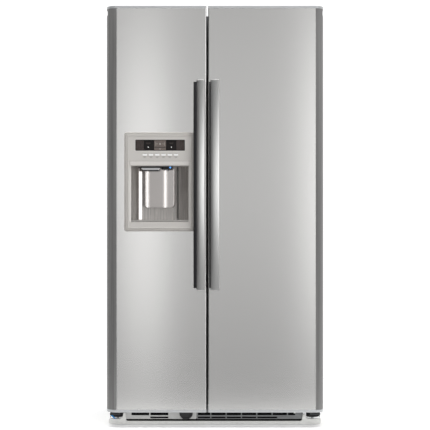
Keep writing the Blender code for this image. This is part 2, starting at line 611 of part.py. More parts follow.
# Doors --------------------------------------------------------------------------------------------------
class Door:
    """Plan shapes of one door. They are drawn from the gap between the doors towards the hinge."""

    def __init__(self, name, side, gap_x, trim_wide, dike, axis):
        self.name = name
        self.side = side
        self.gap_x = gap_x
        self.trim_wide = trim_wide
        self.wide = DOOR_HALF - side * gap_x
        self.dike = dike
        self.axis = axis

    def plan(self, points):
        return [(self.gap_x + self.side * u, y) for u, y in points]

    def gap_corner(self, inset):
        """The rounded front edge beside the gap, from its side to the front."""
        radius = DOOR_CORNER - inset
        return arc((DOOR_CORNER, DOOR_FACE + DOOR_CORNER), (radius, radius), 180, 270, 3)

    def hinge_curve(self, inset, start=-90, end=0, steps=8):
        """The elliptical outer side of the door, from its front back to its side."""
        centre = (self.wide - self.trim_wide, DOOR_FACE + TRIM_DEEP)
        return arc(centre, (self.trim_wide - inset, TRIM_DEEP - inset), start, end, steps)

    def whole(self):
        return self.plan([(0, DOOR_REAR)] + self.gap_corner(0) + self.hinge_curve(0)
                         + [(self.wide, DOOR_REAR)])

    def skin(self):
        fold = self.wide - self.trim_wide - SEAM
        hem = DOOR_FACE + SKIN_HEM
        edge = DOOR_REAR - SKIN_EDGE
        return self.plan([(fold, hem), (fold, DOOR_FACE)] + self.gap_corner(0)[::-1]
                         + [(0, edge), (SKIN, edge)] + self.gap_corner(SKIN)
                         + [(fold - SKIN, DOOR_FACE + SKIN), (fold - SKIN, hem)])

    def trim(self):
        wide, lip = self.wide, DOOR_REAR - TRIM_WALL
        return self.plan(self.hinge_curve(0) + [(wide, DOOR_REAR), (wide - TRIM_HEM, DOOR_REAR),
                                                (wide - TRIM_HEM, lip), (wide - TRIM_WALL, lip)]
                         + self.hinge_curve(TRIM_WALL)[::-1])

    def core(self):
        """The foamed inside of the door: all that the skin and the trim leave."""
        inset, wide = SKIN + FIT, self.wide
        fold = wide - self.trim_wide - SEAM - SKIN - FIT
        clear = TRIM_WALL + FIT
        hem = DOOR_FACE + SKIN_HEM + FIT
        start = -math.degrees(math.asin((TRIM_DEEP + DOOR_FACE - hem) / (TRIM_DEEP - clear)))
        edge, lip = DOOR_REAR - SKIN_EDGE + FIT, DOOR_REAR - clear
        hem_edge = wide - TRIM_HEM - FIT
        return self.plan([(0, DOOR_REAR), (0, edge), (inset, edge)] + self.gap_corner(inset)
                         + [(fold, DOOR_FACE + inset), (fold, hem)]
                         + self.hinge_curve(clear, start, 0, 5)
                         + [(wide - clear, lip), (hem_edge, lip), (hem_edge, DOOR_REAR)])


def hinge_pocket(door):
    """Room for the top hinge arm to sweep through as the door turns about its pin."""
    pin = door.side * HINGE_X
    inward, ahead = 0.018, 0.026
    return box_mesh(((pin - door.side * inward, door.side * (DOOR_HALF + PAST)),
                     (HINGE_Y - ahead, DOOR_REAR + PAST), POCKET_Z))


def make_door(door, handle_x):
    low, high = DOOR_LOW + BOTTOM_CAP + FIT, DOOR_HIGH - CAP_PLATE - FIT
    pin = (door.side * HINGE_X, HINGE_Y)
    skin = add_part(f"{door.name}_skin", prism_mesh("Z", low, high, door.skin()), "brushed_steel", 40)
    trim = add_part(f"{door.name}_side_trim", prism_mesh("Z", low, high, door.trim()), "trim_grey", 40)
    cut(trim, hinge_pocket(door))
    top = add_part(f"{door.name}_top_cap", prism_mesh("Z", high + FIT, DOOR_HIGH, door.whole()),
                   "cap_silver", 40)
    fuse(top, prism_mesh("Z", DOOR_HIGH - TOP_CAP_DEEP, high + 0.003, door.core()))
    bore = 0.03
    cut(top, hinge_pocket(door), cylinder_mesh((*pin, 1.70), PIN_ROOM, bore))
    bottom = add_part(f"{door.name}_bottom_cap",
                      prism_mesh("Z", DOOR_LOW, DOOR_LOW + BOTTOM_CAP, door.whole()), "cap_silver", 40)
    cut(bottom, cylinder_mesh((*pin, DOOR_LOW), PIN_ROOM, bore))

    core_high = DOOR_HIGH - TOP_CAP_DEEP - FIT
    liner = add_part(f"{door.name}_liner", prism_mesh("Z", low, core_high, door.core()), "liner_white", 40)
    inner = (grown(door.dike, -DIKE_WALL), grown((DIKE_LOW, DIKE_HIGH), -DIKE_WALL))
    fuse(liner, prism_mesh("Y", DOOR_REAR - OVERLAP, DOOR_REAR + DIKE,
                           rounded(door.dike, (DIKE_LOW, DIKE_HIGH), DIKE_CORNER, 2),
                           rounded(*inner, DIKE_CORNER, 2)))

    hinge_edge, gap_edge = door.side * GASKET_OUTER, door.gap_x + door.side * GASKET_FROM_GAP
    outer = (tuple(sorted((hinge_edge, gap_edge))), GASKET_Z)
    ring = (grown(outer[0], -GASKET_WIDE), grown(outer[1], -GASKET_TALL))
    add_part(f"{door.name}_gasket", prism_mesh("Y", DOOR_REAR + FIT, CASE_FRONT - FIT, rectangle(*outer),
                                               rectangle(*ring)), "seal_grey")
    make_handle(f"{door.name}_handle", handle_x)
    return skin, liner


def make_handle(name, x):
    """A bowed bar: side view drawn as an outline, feet on the door at both ends."""
    centre = (HANDLE_LOW + HANDLE_HIGH) / 2
    half = (HANDLE_HIGH - HANDLE_LOW) / 2
    foot_out, end, steps = 0.018, 0.004, 14

    def bow(z):
        return (HANDLE_OUT - foot_out) * (1 - ((z - centre) / half) ** 2)

    heights = [HANDLE_LOW + end + (HANDLE_HIGH - HANDLE_LOW - 2 * end) * n / steps for n in range(steps + 1)]
    front = [(DOOR_FACE - foot_out - bow(z), z) for z in heights]
    inner_low, inner_high = HANDLE_LOW + HANDLE_FOOT, HANDLE_HIGH - HANDLE_FOOT
    heights = [inner_low + (inner_high - inner_low) * n / steps for n in range(steps + 1)]
    thick = HANDLE_BAR - 0.0005
    back = [(DOOR_FACE - foot_out + thick - bow(z), z) for z in heights]
    root = DOOR_FACE - FIT
    outline = ([(root, HANDLE_LOW)] + front + [(root, HANDLE_HIGH), (root, inner_high)] + back[::-1]
               + [(root, inner_low)])
    handle = add_part(name, prism_mesh("X", x[0], x[1], outline), "handle_metal", 40)
    soften = handle.modifiers.new("soft_edges", "BEVEL")
    soften.width = 0.004
    soften.segments = 2
    soften.limit_method = "ANGLE"
    soften.angle_limit = math.radians(60)
    return handle


def hang(names, empty_name, place):
    """Parent the named parts to an empty on their joint's axis."""
    pivot = bpy.data.objects.new(empty_name, None)
    pivot.empty_display_size = 0.05
    pivot.location = place
    refrigerator.objects.link(pivot)
    for name in names:
        part = bpy.data.objects[name]
        part.parent = pivot
        part.matrix_parent_inverse = Matrix.Translation(-Vector(place))


# Ice and water dispenser in the freezer door ------------------------------------------------------------
def niche_outline(grow, front):
    """Plan of the recess: a U with round inner corners, open to the front."""
    x, back, radius = grown(NICHE_X, grow), NICHE_BACK + grow, NICHE_CORNER + grow
    return ([(x[0], front), (x[1], front)] + arc((x[1] - radius, back - radius), (radius, radius), 0, 90, 6)
            + arc((x[0] + radius, back - radius), (radius, radius), 90, 180, 6))


def chute_mesh():
    """The way for ice: down from a hopper behind the door, then forward and down to the recess ceiling."""
    near, far = CHUTE_MOUTH_Y
    hopper = (BULGE_REAR - 0.036, BULGE_REAR - 0.006)
    low = NICHE_Z[1] - OVERLAP
    top = BULGE_Z[1] + PAST
    bend = low + OVERLAP
    side = [(near, low), (far, low), (far, bend), (hopper[1], bend + hopper[1] - far),
            (hopper[1], top), (hopper[0], top), (hopper[0], bend + hopper[0] - near), (near, bend)]
    return prism_mesh("X", *CHUTE_X, side)


def make_dispenser(skin, liner):
    lap, tongue, clear = 0.0100, 0.011, 0.0005
    cut(skin, box_mesh((grown(FRAME_X, -lap), grown((DOOR_FACE, DOOR_FACE), 0.004), grown(FRAME_Z, -lap))))
    inner_x, inner_z = grown(FRAME_X, -tongue), grown(FRAME_Z, -tongue)
    ahead, behind = DOOR_FACE - PAST, DOOR_FACE + 0.023
    fuse(liner, box_mesh((grown(FREEZER_DIKE, -0.004), (DOOR_REAR - OVERLAP, BULGE_REAR), BULGE_Z)))
    cut(liner, box_mesh((grown(inner_x, clear), (ahead, behind), grown(inner_z, clear))),
        prism_mesh("Z", *grown(NICHE_Z, NICHE_WALL + FIT), niche_outline(NICHE_WALL + FIT, ahead)),
        chute_mesh())

    plate = prism_mesh("Y", DOOR_FACE - FRAME_PROUD, DOOR_FACE - FIT, rounded(FRAME_X, FRAME_Z, FRAME_CORNER))
    frame = add_part("dispenser_frame", plate, "bezel_taupe", 40)
    fuse(frame, box_mesh((inner_x, (DOOR_FACE - OVERLAP, FRAME_BACK), inner_z)))
    buttons = [(BUTTON_FIRST_X + n * BUTTON_PITCH, BUTTON_Z) for n in range(6)]
    half_x, half_z = BUTTON_SIZE[0] / 2, BUTTON_SIZE[2] / 2
    through = grown((DOOR_FACE, DOOR_FACE), 2 * PAST)
    room = (half_x + BUTTON_ROOM, half_z + BUTTON_ROOM)
    cut(frame, box_mesh((NICHE_X, through, NICHE_Z)), box_mesh((DISPLAY_X, through, DISPLAY_Z)),
        box_mesh(*((grown((x, x), room[0]), through, grown((z, z), room[1])) for x, z in buttons)))

    shell = prism_mesh("Z", *grown(NICHE_Z, NICHE_WALL), niche_outline(NICHE_WALL, FRAME_BACK + FIT))
    niche = add_part("dispenser_niche", shell, "niche_metal", 40)
    cut(niche, prism_mesh("Z", *NICHE_Z, niche_outline(0, ahead)),
        box_mesh((CHUTE_X, CHUTE_MOUTH_Y, grown((NICHE_Z[1], NICHE_Z[1]), 0.008))))

    window_y = (DOOR_FACE - 0.0075, DOOR_FACE + 0.0095)
    window_x, window_z = grown(DISPLAY_X, -BUTTON_ROOM), grown(DISPLAY_Z, -BUTTON_ROOM)
    add_part("display_window", box_mesh((window_x, window_y, window_z)), "window_black")
    proud = 0.0015
    button_mesh = box_mesh(((-half_x, half_x), (-proud, BUTTON_SIZE[1] - proud), (-half_z, half_z)))
    for number, (x, z) in enumerate(buttons, 1):
        button = add_part(f"button_{number}", button_mesh, "button_white")
        button.location = (x, DOOR_FACE - FRAME_PROUD, z)

    # The paddle is a thin plate with a wavy plan, which hangs from its top edge.
    crest, wave, swell, thick, steps = -0.282, 0.075, 0.0035, 0.004, 20
    xs = [PADDLE_X[0] + (PADDLE_X[1] - PADDLE_X[0]) * n / steps for n in range(steps + 1)]
    front = [(x, PADDLE_Y - swell * math.cos(2 * math.pi * (x - crest) / wave)) for x in xs]
    outline = front + [(x, y + thick) for x, y in front[::-1]]
    paddle = add_part("dispenser_paddle", prism_mesh("Z", *PADDLE_Z, outline), "niche_metal", 40)
    centre_on(paddle, (middle(PADDLE_X), PADDLE_Y + thick / 2, PADDLE_Z[1] - thick))

    # The flap closes the sloping part of the chute, square to it.
    pivot, slope, half_thick = (-0.270, 1.122), math.radians(45), 0.00125
    length = (CHUTE_MOUTH_Y[1] - CHUTE_MOUTH_Y[0]) * math.sqrt(0.5)
    flap_mesh = box_mesh((grown(CHUTE_X, -0.001), (-half_thick, half_thick), (-length + 0.0015, -0.0018)))
    flap_mesh.transform(Matrix.Translation((0, *pivot)) @ Matrix.Rotation(slope, 4, "X"))
    flap = add_part("chute_flap", flap_mesh, "black_plastic")
    centre_on(flap, (AUGER_X, *pivot))


def make_door_stores():
    """Bins on the doors and the dairy compartment with its lid."""
    rear = (DOOR_REAR + FIT, DOOR_REAR + BIN_DEEP)
    between = grown(FREEZER_DIKE, -DIKE_WALL - 0.001)
    make_tub("freezer_bin", between, rear, (0.560, 0.680), "clear_plastic")
    between = grown(FRIDGE_DIKE, -DIKE_WALL - 0.001)
    for name, z in (("fridge_bin_lower", (0.200, 0.320)), ("fridge_bin_upper", (0.860, 0.980))):
        make_tub(name, between, rear, z, "clear_plastic")
    liner = bpy.data.objects["fridge_door_liner"]
    ledge = grown(FRIDGE_DIKE, -DIKE_WALL + 0.004)
    shelf_rear, roof_rear, lid_y, lid_z = -0.1505, -0.1520, (-0.1500, -0.1470), (1.468, 1.601)
    fuse(liner, box_mesh((ledge, (DOOR_REAR - OVERLAP, shelf_rear), (1.458, 1.466))),
         box_mesh((ledge, (DOOR_REAR - OVERLAP, roof_rear), (1.604, 1.611))))
    lid = add_part("dairy_lid", box_mesh((between, lid_y, lid_z)), "clear_plastic")
    centre_on(lid, (middle(between), middle(lid_y), lid_z[1] - 0.0015))


def make_doors():
    freezer = Door("freezer_door", -1, DOOR_GAP[0], FREEZER_TRIM, FREEZER_DIKE, (-HINGE_X, HINGE_Y, 0))
    fridge = Door("fridge_door", 1, DOOR_GAP[1], FRIDGE_TRIM, FRIDGE_DIKE, (HINGE_X, HINGE_Y, 0))
    centre = sum(DOOR_GAP) / 2
    near, far = HANDLE_FROM_GAP, HANDLE_FROM_GAP + HANDLE_WIDE
    skin, liner = make_door(freezer, (centre - far, centre - near))
    make_door(fridge, (centre + near, centre + far))
    make_dispenser(skin, liner)
    make_door_stores()
    pieces = ("skin", "side_trim", "top_cap", "bottom_cap", "liner", "gasket", "handle")
    dispenser = ["dispenser_frame", "dispenser_niche", "display_window", "dispenser_paddle", "chute_flap",
                 "freezer_bin"] + [f"button_{n}" for n in range(1, 7)]
    hang([f"freezer_door_{piece}" for piece in pieces] + dispenser, "freezer_door_axis", freezer.axis)
    hang([f"fridge_door_{piece}" for piece in pieces] + ["fridge_bin_lower", "fridge_bin_upper", "dairy_lid"],
         "fridge_door_axis", fridge.axis)


make_cabinet()
make_base()
make_hinges()
make_machinery()
make_freezer_interior()
make_fridge_interior()
make_doors()
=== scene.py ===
"""Looks for the side by side refrigerator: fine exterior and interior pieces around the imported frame.

Metres, +Z up, doors facing -Y. Places come from the frame's own boxes or from each section's named values.
"""
import json
import math

import bmesh
import bpy
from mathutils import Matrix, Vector


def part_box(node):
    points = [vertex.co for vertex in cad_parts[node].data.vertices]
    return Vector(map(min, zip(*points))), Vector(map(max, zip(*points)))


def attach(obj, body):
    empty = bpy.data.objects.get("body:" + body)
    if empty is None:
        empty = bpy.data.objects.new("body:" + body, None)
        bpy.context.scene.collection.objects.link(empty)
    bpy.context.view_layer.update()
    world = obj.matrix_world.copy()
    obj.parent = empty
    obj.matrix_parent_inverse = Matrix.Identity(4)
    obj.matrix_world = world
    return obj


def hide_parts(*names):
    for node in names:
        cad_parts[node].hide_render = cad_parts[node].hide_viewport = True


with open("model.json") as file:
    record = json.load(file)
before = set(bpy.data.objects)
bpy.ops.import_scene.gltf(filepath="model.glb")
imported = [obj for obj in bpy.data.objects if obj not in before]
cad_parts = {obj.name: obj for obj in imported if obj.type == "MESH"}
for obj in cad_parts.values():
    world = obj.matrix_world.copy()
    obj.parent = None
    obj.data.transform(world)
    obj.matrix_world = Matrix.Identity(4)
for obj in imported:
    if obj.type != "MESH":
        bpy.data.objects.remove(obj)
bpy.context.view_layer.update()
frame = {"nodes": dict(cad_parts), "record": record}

SCENE = bpy.context.scene
NODES = frame["nodes"]
DOORS = ("freezer_door", "fridge_door")
SIDES = ("left", "right")
BUTTONS = range(1, 7)
FRIDGE_SHELVES = ("fridge_shelf_upper", "fridge_shelf_middle", "fridge_shelf_lower")
FREEZER_SHELVES = ("freezer_shelf_upper", "freezer_shelf_lower")


# Places ---------------------------------------------------------------------------------------------
def spans(node):
    """A CAD node's ((x, x), (y, y), (z, z)) at rest."""
    low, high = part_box(node)
    return tuple((low[n], high[n]) for n in range(3))


def grown(span, amount):
    return (span[0] - amount, span[1] + amount)


def around(centre, half):
    return (centre - half, centre + half)


def middle(span):
    return (span[0] + span[1]) / 2


def mix(a, b, share):
    return a + (b - a) * share


FACE_Y = spans("freezer_door_skin")[1][0]        # front plane of the steel doors
LINER_WALL = 0.002
# The opening of the ice chute, in x and y
CHUTE_MOUTH = (grown(spans("chute_flap")[0], 0.001), (FACE_Y + 0.013, FACE_Y + 0.061))


# Materials ------------------------------------------------------------------------------------------
LOOKS = {}


def plug(tree, node, inputs):
    """Give a node's inputs their constants, or links from other nodes' outputs."""
    for socket, value in inputs.items():
        if isinstance(value, bpy.types.NodeSocket):
            tree.links.new(value, node.inputs[socket])
        else:
            node.inputs[socket].default_value = value


def add_node(tree, kind, inputs=None, **settings):
    """A shader node of a kind, with its settings and inputs."""
    node = tree.nodes.new("ShaderNode" + kind)
    for name, value in settings.items():
        setattr(node, name, value)
    plug(tree, node, inputs or {})
    return node


def finish(name, colour, rough=0.4, metal=0.0, shade=0.06, grain=60, detail=3, bump=0.0, bump_grain=None,
           rough_swing=0.06, tangent=None, **sockets):
    """A Principled material whose colour, roughness and height vary with noise in object space.

    shade is how far the colour swings, grain the noise's scale in cycles a metre and bump its height. A
    scale is one number, or three for X, Y and Z.
    """
    look = LOOKS[name] = bpy.data.materials.new(name)
    look.use_nodes = True
    tree = look.node_tree
    place = add_node(tree, "TexCoord").outputs["Object"]

    def noise(scale, levels):
        scales = scale if isinstance(scale, tuple) else (scale, scale, scale)
        spot = add_node(tree, "Mapping", {"Vector": place, "Scale": scales}).outputs["Vector"]
        return add_node(tree, "TexNoise", {"Vector": spot, "Scale": 1.0, "Detail": levels}).outputs["Fac"]

    pattern = noise(grain, detail)
    ramp = add_node(tree, "ValToRGB", {"Fac": pattern})
    for stop, position, swing in zip(ramp.color_ramp.elements, (0.3, 0.7), (1 - shade, 1 + shade)):
        stop.position = position
        stop.color = (*[min(1, part * swing) for part in colour], 1)
    spread = add_node(tree, "MapRange", {"Value": pattern, "To Min": max(0.02, rough - rough_swing),
                                         "To Max": rough + rough_swing})
    surface = {"Base Color": ramp.outputs["Color"], "Roughness": spread.outputs["Result"],
               "Metallic": metal}
    if bump:
        height = noise(bump_grain or grain, 2)
        relief = add_node(tree, "Bump", {"Strength": 1.0, "Distance": bump, "Height": height})
        surface["Normal"] = relief.outputs["Normal"]
    if tangent:
        direction = add_node(tree, "Tangent", direction_type="RADIAL", axis=tangent)
        surface["Tangent"] = direction.outputs["Tangent"]
    surface.update({socket.replace("_", " "): value for socket, value in sockets.items()})
    plug(tree, tree.nodes["Principled BSDF"], surface)
    return look


# Metals
finish("brushed_steel", (0.655, 0.65, 0.64), 0.175, 1.0, 0.03, (6, 6, 900), 4, 0.00001, (8, 8, 1400), 0.02,
       "Z", Anisotropic=0.9, Anisotropic_Rotation=0.25)
finish("handle_metal", (0.62, 0.62, 0.61), 0.3, 1.0, 0.03, (900, 300, 12), 3, 0.000008, (1400, 500, 14),
       0.04)
finish("handle_end", (0.5, 0.55, 0.62), 0.3, 0.8, 0.04, 200)
finish("recess_metal", (0.6, 0.57, 0.545), 0.27, 0.25, 0.03, (500, 500, 8), 3, 0.00001, (900, 900, 12),
       0.04)
finish("niche_metal", (0.5, 0.475, 0.46), 0.2, 0.95, 0.03, (500, 500, 8), 3, 0.00001, (900, 900, 12),
       0.04)
finish("zinc", (0.52, 0.53, 0.54), 0.42, 0.85, 0.08, 55, 5, 0.00002, 120, 0.12)
finish("aluminium", (0.72, 0.73, 0.75), 0.34, 1.0, 0.06, 120, 3, 0.00002, 300)
finish("chrome", (0.78, 0.78, 0.79), 0.1, 1.0, 0.03, 200)
finish("brass", (0.62, 0.33, 0.1), 0.35, 0.8, 0.1, 300)

# Paints and solid plastics
# Painted reflection: the trims' strong colour swing in broad upright streaks stands for streaks of
# reflection
finish("trim_grey", (0.215, 0.213, 0.21), 0.42, 0.0, 0.2, (105, 105, 1.5), 2, 0.00001,
       Specular_IOR_Level=0.22)
finish("cap_silver", (0.51, 0.52, 0.53), 0.36, 0.25, 0.04, 90, 3, 0.00001, 900)
finish("case_grey", (0.185, 0.185, 0.19), 0.52, 0.0, 0.07, 260, 4, 0.00012, 700)
finish("black_enamel", (0.02, 0.02, 0.021), 0.34, 0.1, 0.15, 70, 3, 0.00006, 350)
finish("bezel_taupe", (0.66, 0.635, 0.605), 0.34, 0.1, 0.02, 240, 3, 0.00001, 1200)
finish("tray_taupe", (0.4, 0.385, 0.365), 0.34, 0.1, 0.02, 240, 3, 0.00001, 1200)
finish("base_silver", (0.8, 0.8, 0.775), 0.38, 0.1, 0.03, 90, 3, 0.00003, 600)
# Painted shade: darker copies of the bumper's silver for the kick panels, the right one darkest
finish("shaded_panel_silver", (0.54, 0.54, 0.53), 0.38, 0.1, 0.03, 90, 3, 0.00003, 600)
finish("shaded_grille_grey", (0.2, 0.205, 0.21), 0.42, 0.1, 0.04, 90, 3, 0.00003, 600)
finish("black_plastic", (0.022, 0.022, 0.024), 0.42, 0.0, 0.15, 90, 3, 0.00003, 700, Specular_IOR_Level=0.3)
# Painted shade: a flat, barely glossy black put behind slots where the inside lies in shade
finish("shade_black", (0.01, 0.01, 0.011), 0.9, 0.0, 0.2, 90, Specular_IOR_Level=0.1)
finish("liner_white", (0.86, 0.87, 0.87), 0.34, 0.0, 0.02, 14, 3, 0.00004, 420)
finish("inner_grey", (0.6, 0.62, 0.63), 0.42, 0.0, 0.03, 60, 3, 0.00003, 500)
finish("seal_grey", (0.36, 0.37, 0.38), 0.62, 0.0, 0.06, 90, 3, 0.00005, 800)
finish("foam", (0.8, 0.7, 0.42), 0.9, 0.0, 0.15, 120, 5, 0.0004)
finish("blue_tube", (0.01, 0.27, 0.66), 0.28, 0.0, 0.06, 300)

# Display, buttons and lamps
finish("window_black", (0.014, 0.012, 0.012), 0.22, 0.0, 0.1, 80, Specular_IOR_Level=0.12)
finish("cell_grey", (0.062, 0.05, 0.047), 0.28, 0.0, 0.12, 160, Specular_IOR_Level=0.12)
finish("lcd_taupe", (0.175, 0.145, 0.13), 0.3, 0.0, 0.1, 300, Specular_IOR_Level=0.2)
finish("lcd_mark", (0.045, 0.036, 0.034), 0.35, 0.0, 0.08, 300)
finish("screen_light", (0.42, 0.39, 0.37), 0.35, 0.0, 0.05, 300)
finish("print_grey", (0.36, 0.34, 0.325), 0.5, 0.0, 0.08, 300)
# Painted light: the keys glow a little though they are no lamps
finish("button_white", (0.8, 0.8, 0.79), 0.3, 0.0, 0.01, 200, 3, 0.00001, 900,
       Emission_Color=(1, 1, 1, 1), Emission_Strength=0.25)
finish("lamp_white", (0.95, 0.95, 0.93), 0.25, 0.0, 0.02, 90,
       Emission_Color=(1, 1, 0.97, 1), Emission_Strength=0.35)
finish("lamp_blue", (0.1, 0.3, 0.85), 0.25, 0.0, 0.08, 200,
       Emission_Color=(0.15, 0.45, 1, 1), Emission_Strength=0.9)
finish("lamp_lens", (0.95, 0.95, 0.93), 0.3, 0.0, 0.01, 200,
       Emission_Color=(1, 0.98, 0.94, 1), Emission_Strength=0.6)

# Clear parts
finish("frosted_plastic", (0.86, 0.9, 0.92), 0.3, 0.0, 0.01, 60, Transmission_Weight=0.45, IOR=1.3)
finish("clear_plastic", (0.93, 0.965, 0.975), 0.07, 0.0, 0.01, 40, rough_swing=0.03, IOR=1.2,
       Transmission_Weight=0.93)
finish("glass", (0.86, 0.95, 0.92), 0.03, 0.0, 0.01, 30, rough_swing=0.01, IOR=1.3,
       Transmission_Weight=0.95)


# Outlines -------------------------------------------------------------------------------------------
def arc(centre, radii, start, end, steps):
    """Points on an ellipse about a centre, from one angle in degrees to another."""
    angles = [math.radians(mix(start, end, n / steps)) for n in range(steps + 1)]
    return [(centre[0] + radii[0] * math.cos(a), centre[1] + radii[1] * math.sin(a)) for a in angles]


def rounded(u, v, radius, steps=5):
    """A rectangle with round corners, anticlockwise from its right side's top corner."""
    radius = min(radius, (u[1] - u[0]) / 2 - 0.00001, (v[1] - v[0]) / 2 - 0.00001)
    corners = ((u[1] - radius, v[1] - radius, 0), (u[0] + radius, v[1] - radius, 90),
               (u[0] + radius, v[0] + radius, 180), (u[1] - radius, v[0] + radius, 270))
    return [point for x, y, start in corners
            for point in arc((x, y), (radius, radius), start, start + 90, steps)]


def upright(axis, level, outline):
    """Flat outline points stood at a level on an axis: (y, z) for X, (x, z) for Y, (x, y) for Z."""
    if axis == "X":
        return [(level, u, v) for u, v in outline]
    if axis == "Y":
        return [(u, level, v) for u, v in outline]
    return [(u, v, level) for u, v in outline]


def rim(axis, level, u, v, inset, radius, steps=6):
    """A round-cornered rectangle stood at a level and drawn in on all four sides."""
    return upright(axis, level, rounded(grown(u, -inset), grown(v, -inset), radius, steps))


def smooth_path(points, steps=8):
    """A Catmull-Rom curve through points."""
    points = [Vector(point) for point in points]
    ends = [2 * points[0] - points[1]] + points + [2 * points[-1] - points[-2]]
    path = []
    for n in range(1, len(ends) - 2):
        a, b, c, d = ends[n - 1:n + 3]
        for k in range(steps):
            t = k / steps
            path.append(0.5 * ((2 * b) + (c - a) * t + (2 * a - 5 * b + 4 * c - d) * t * t
                               + (3 * b - 3 * c + d - a) * t ** 3))
    return path + [points[-1]]


# Meshes ---------------------------------------------------------------------------------------------
def bake(shape):
    mesh = bpy.data.meshes.new("piece")
    shape.to_mesh(mesh)
    shape.free()
    return mesh


def loft(rings, caps=True, closed=False):
    """A skin through rings of equally many points; closed joins the last ring to the first."""
    shape = bmesh.new()
    rows = [[shape.verts.new(point) for point in ring] for ring in rings]
    count = len(rows[0])
    pairs = list(zip(rows, rows[1:])) + ([(rows[-1], rows[0])] if closed else [])
    for low, high in pairs:
        for n in range(count):
            shape.faces.new((low[n], low[(n + 1) % count], high[(n + 1) % count], high[n]))
    if caps and not closed:
        shape.faces.new(rows[0][::-1])
        shape.faces.new(rows[-1])
    bmesh.ops.recalc_face_normals(shape, faces=shape.faces)
    return bake(shape)


def prism(axis, span, outline):
    return loft([upright(axis, level, outline) for level in span])


def pillow(axis, span, u, v, radius, edge=0.001, steps=5):
    """A rounded slab: round corners in its plane and a round edge of that size on both faces."""
    turn = [math.pi / 2 * n / 3 for n in range(4)]
    levels = [(edge * (1 - math.sin(a)), span[0] + edge * (1 - math.cos(a))) for a in turn]
    levels += [(edge * (1 - math.cos(a)), span[1] - edge * (1 - math.sin(a))) for a in turn]
    return loft([rim(axis, level, u, v, inset, max(radius - inset, 0.0002), steps)
                 for inset, level in levels])


def turned(profile, centre, axis="Z", steps=40, teeth=0, tooth=0.0):
    """A (radius, height) profile turned about an axis; teeth ripple its widest rings."""
    widest = max(radius for radius, _ in profile)
    rings = []
    for radius, height in profile:
        ring = []
        for n in range(steps):
            a = 2 * math.pi * n / steps
            ripple = tooth * (0.5 + 0.5 * math.cos(teeth * a)) if teeth and radius > 0.9 * widest else 0
            ring.append(((radius - ripple) * math.cos(a), (radius - ripple) * math.sin(a)))
        rings.append([Vector(point) + Vector(centre) for point in upright(axis, height, ring)])
    return loft(rings)


def sweep(points, radius, sides=12):
    """A round tube along points, its rings kept from twisting."""
    points = [Vector(point) for point in points]
    rings, across = [], None
    for n, point in enumerate(points):
        ahead = (points[min(n + 1, len(points) - 1)] - points[max(n - 1, 0)]).normalized()
        if across is None:
            across = ahead.orthogonal().normalized()
        across = (across - ahead * across.dot(ahead)).normalized()
        other = ahead.cross(across)
        rings.append([point + (across * math.cos(2 * math.pi * k / sides)
                               + other * math.sin(2 * math.pi * k / sides)) * radius for k in range(sides)])
    return loft(rings)


def joined(*meshes):
    """Several meshes as one."""
    shape = bmesh.new()
    for mesh in meshes:
        shape.from_mesh(mesh)
    return bake(shape)


def show(name, data):
    """A new object in the scene."""
    thing = bpy.data.objects.new(name, data)
    SCENE.collection.objects.link(thing)
    return thing


def carved(mesh, *cutters):
    """A mesh with the cutters cut out of it."""
    thing = show("carving", mesh)
    tools = [show("cutter", cutter) for cutter in cutters]
    for tool in tools:
        step = thing.modifiers.new("carve", "BOOLEAN")
        step.operation = "DIFFERENCE"
        step.solver = "EXACT"
        step.object = tool
    bpy.context.view_layer.update()
    done = bpy.data.meshes.new_from_object(thing.evaluated_get(bpy.context.evaluated_depsgraph_get()))
    for used in (thing, *tools):
        bpy.data.objects.remove(used)
    return done


# Pieces ---------------------------------------------------------------------------------------------
def give_look(thing, look, soft, sharp):
    """Give an object its look, round its edges and shade it smooth between the sharp ones."""
    thing.data.materials.clear()
    thing.data.materials.append(LOOKS[look])
    for face in thing.data.polygons:
        face.use_smooth = True
    if soft:
        bevel = thing.modifiers.new("rounded_edges", "BEVEL")
        bevel.width = soft
        bevel.segments = 2
        bevel.limit_method = "ANGLE"
        bevel.angle_limit = math.radians(40)
        bevel.use_clamp_overlap = True
    split = thing.modifiers.new("sharp_edges", "EDGE_SPLIT")
    split.split_angle = math.radians(sharp)
    flat = thing.modifiers.new("flat_faces", "WEIGHTED_NORMAL")
    flat.mode = "FACE_AREA"
    flat.weight = 90


def piece(name, mesh, look, body="cabinet", replaces=None, slot=None, soft=0.0, sharp=38):
    """A finished piece riding on a body; soft is the width of its rounded edges."""
    thing = show(name, mesh)
    give_look(thing, look, soft, sharp)
    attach(thing, body)
    if replaces:
        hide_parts(replaces)


def door_piece(name, mesh, look, replaces=None, **shading):
    """A finished piece of the freezer door."""
    piece(name, mesh, look, "freezer_door", replaces, **shading)


SOFT_EDGE = {"outer_case": 0.0025, "base_grille": 0.0012, "base_chassis": 0.001,
             **{f"{door}_{part}": soft for door in DOORS
                for part, soft in (("skin", 0.0035), ("top_cap", 0.002), ("bottom_cap", 0.0025))},
             **{f"hinge_{end}_{side}": 0.0008 for end in ("top", "bottom") for side in SIDES}}


def dress_frame():
    """Every CAD node gets its slot's material, its facets welded, and soft edges where they show."""
    looks = {part["node"]: part["material_slot"] for part in frame["record"]["subparts"]}
    for node, thing in NODES.items():
        if "custom_normal" in thing.data.attributes:
            thing.data.attributes.remove(thing.data.attributes["custom_normal"])
        weld = thing.modifiers.new("welded", "WELD")
        weld.merge_threshold = 0.00002
        give_look(thing, looks[node], SOFT_EDGE.get(node, 0.0), 38)


# Handles --------------------------------------------------------------------------------------------
BAR_THICK, BAR_END_OUT = 0.0155, 0.018      # the bar's depth, and how far out its front is at the ends
BAR_FOOT, BAR_LIFT = 0.05, 0.016            # height of each foot, and the stretch where the bar lifts off
BAR_CHAMFER, BAR_CHAMFER_IN = 0.0006, 0.0008
BAR_CORNER, BAR_CROWN = 0.0036, 0.0026
SHADE_LINER_BEHIND, SHADE_LINER_SHORT = 0.004, 0.009    # how far the painted-shade liner sits back, and ends before the bar
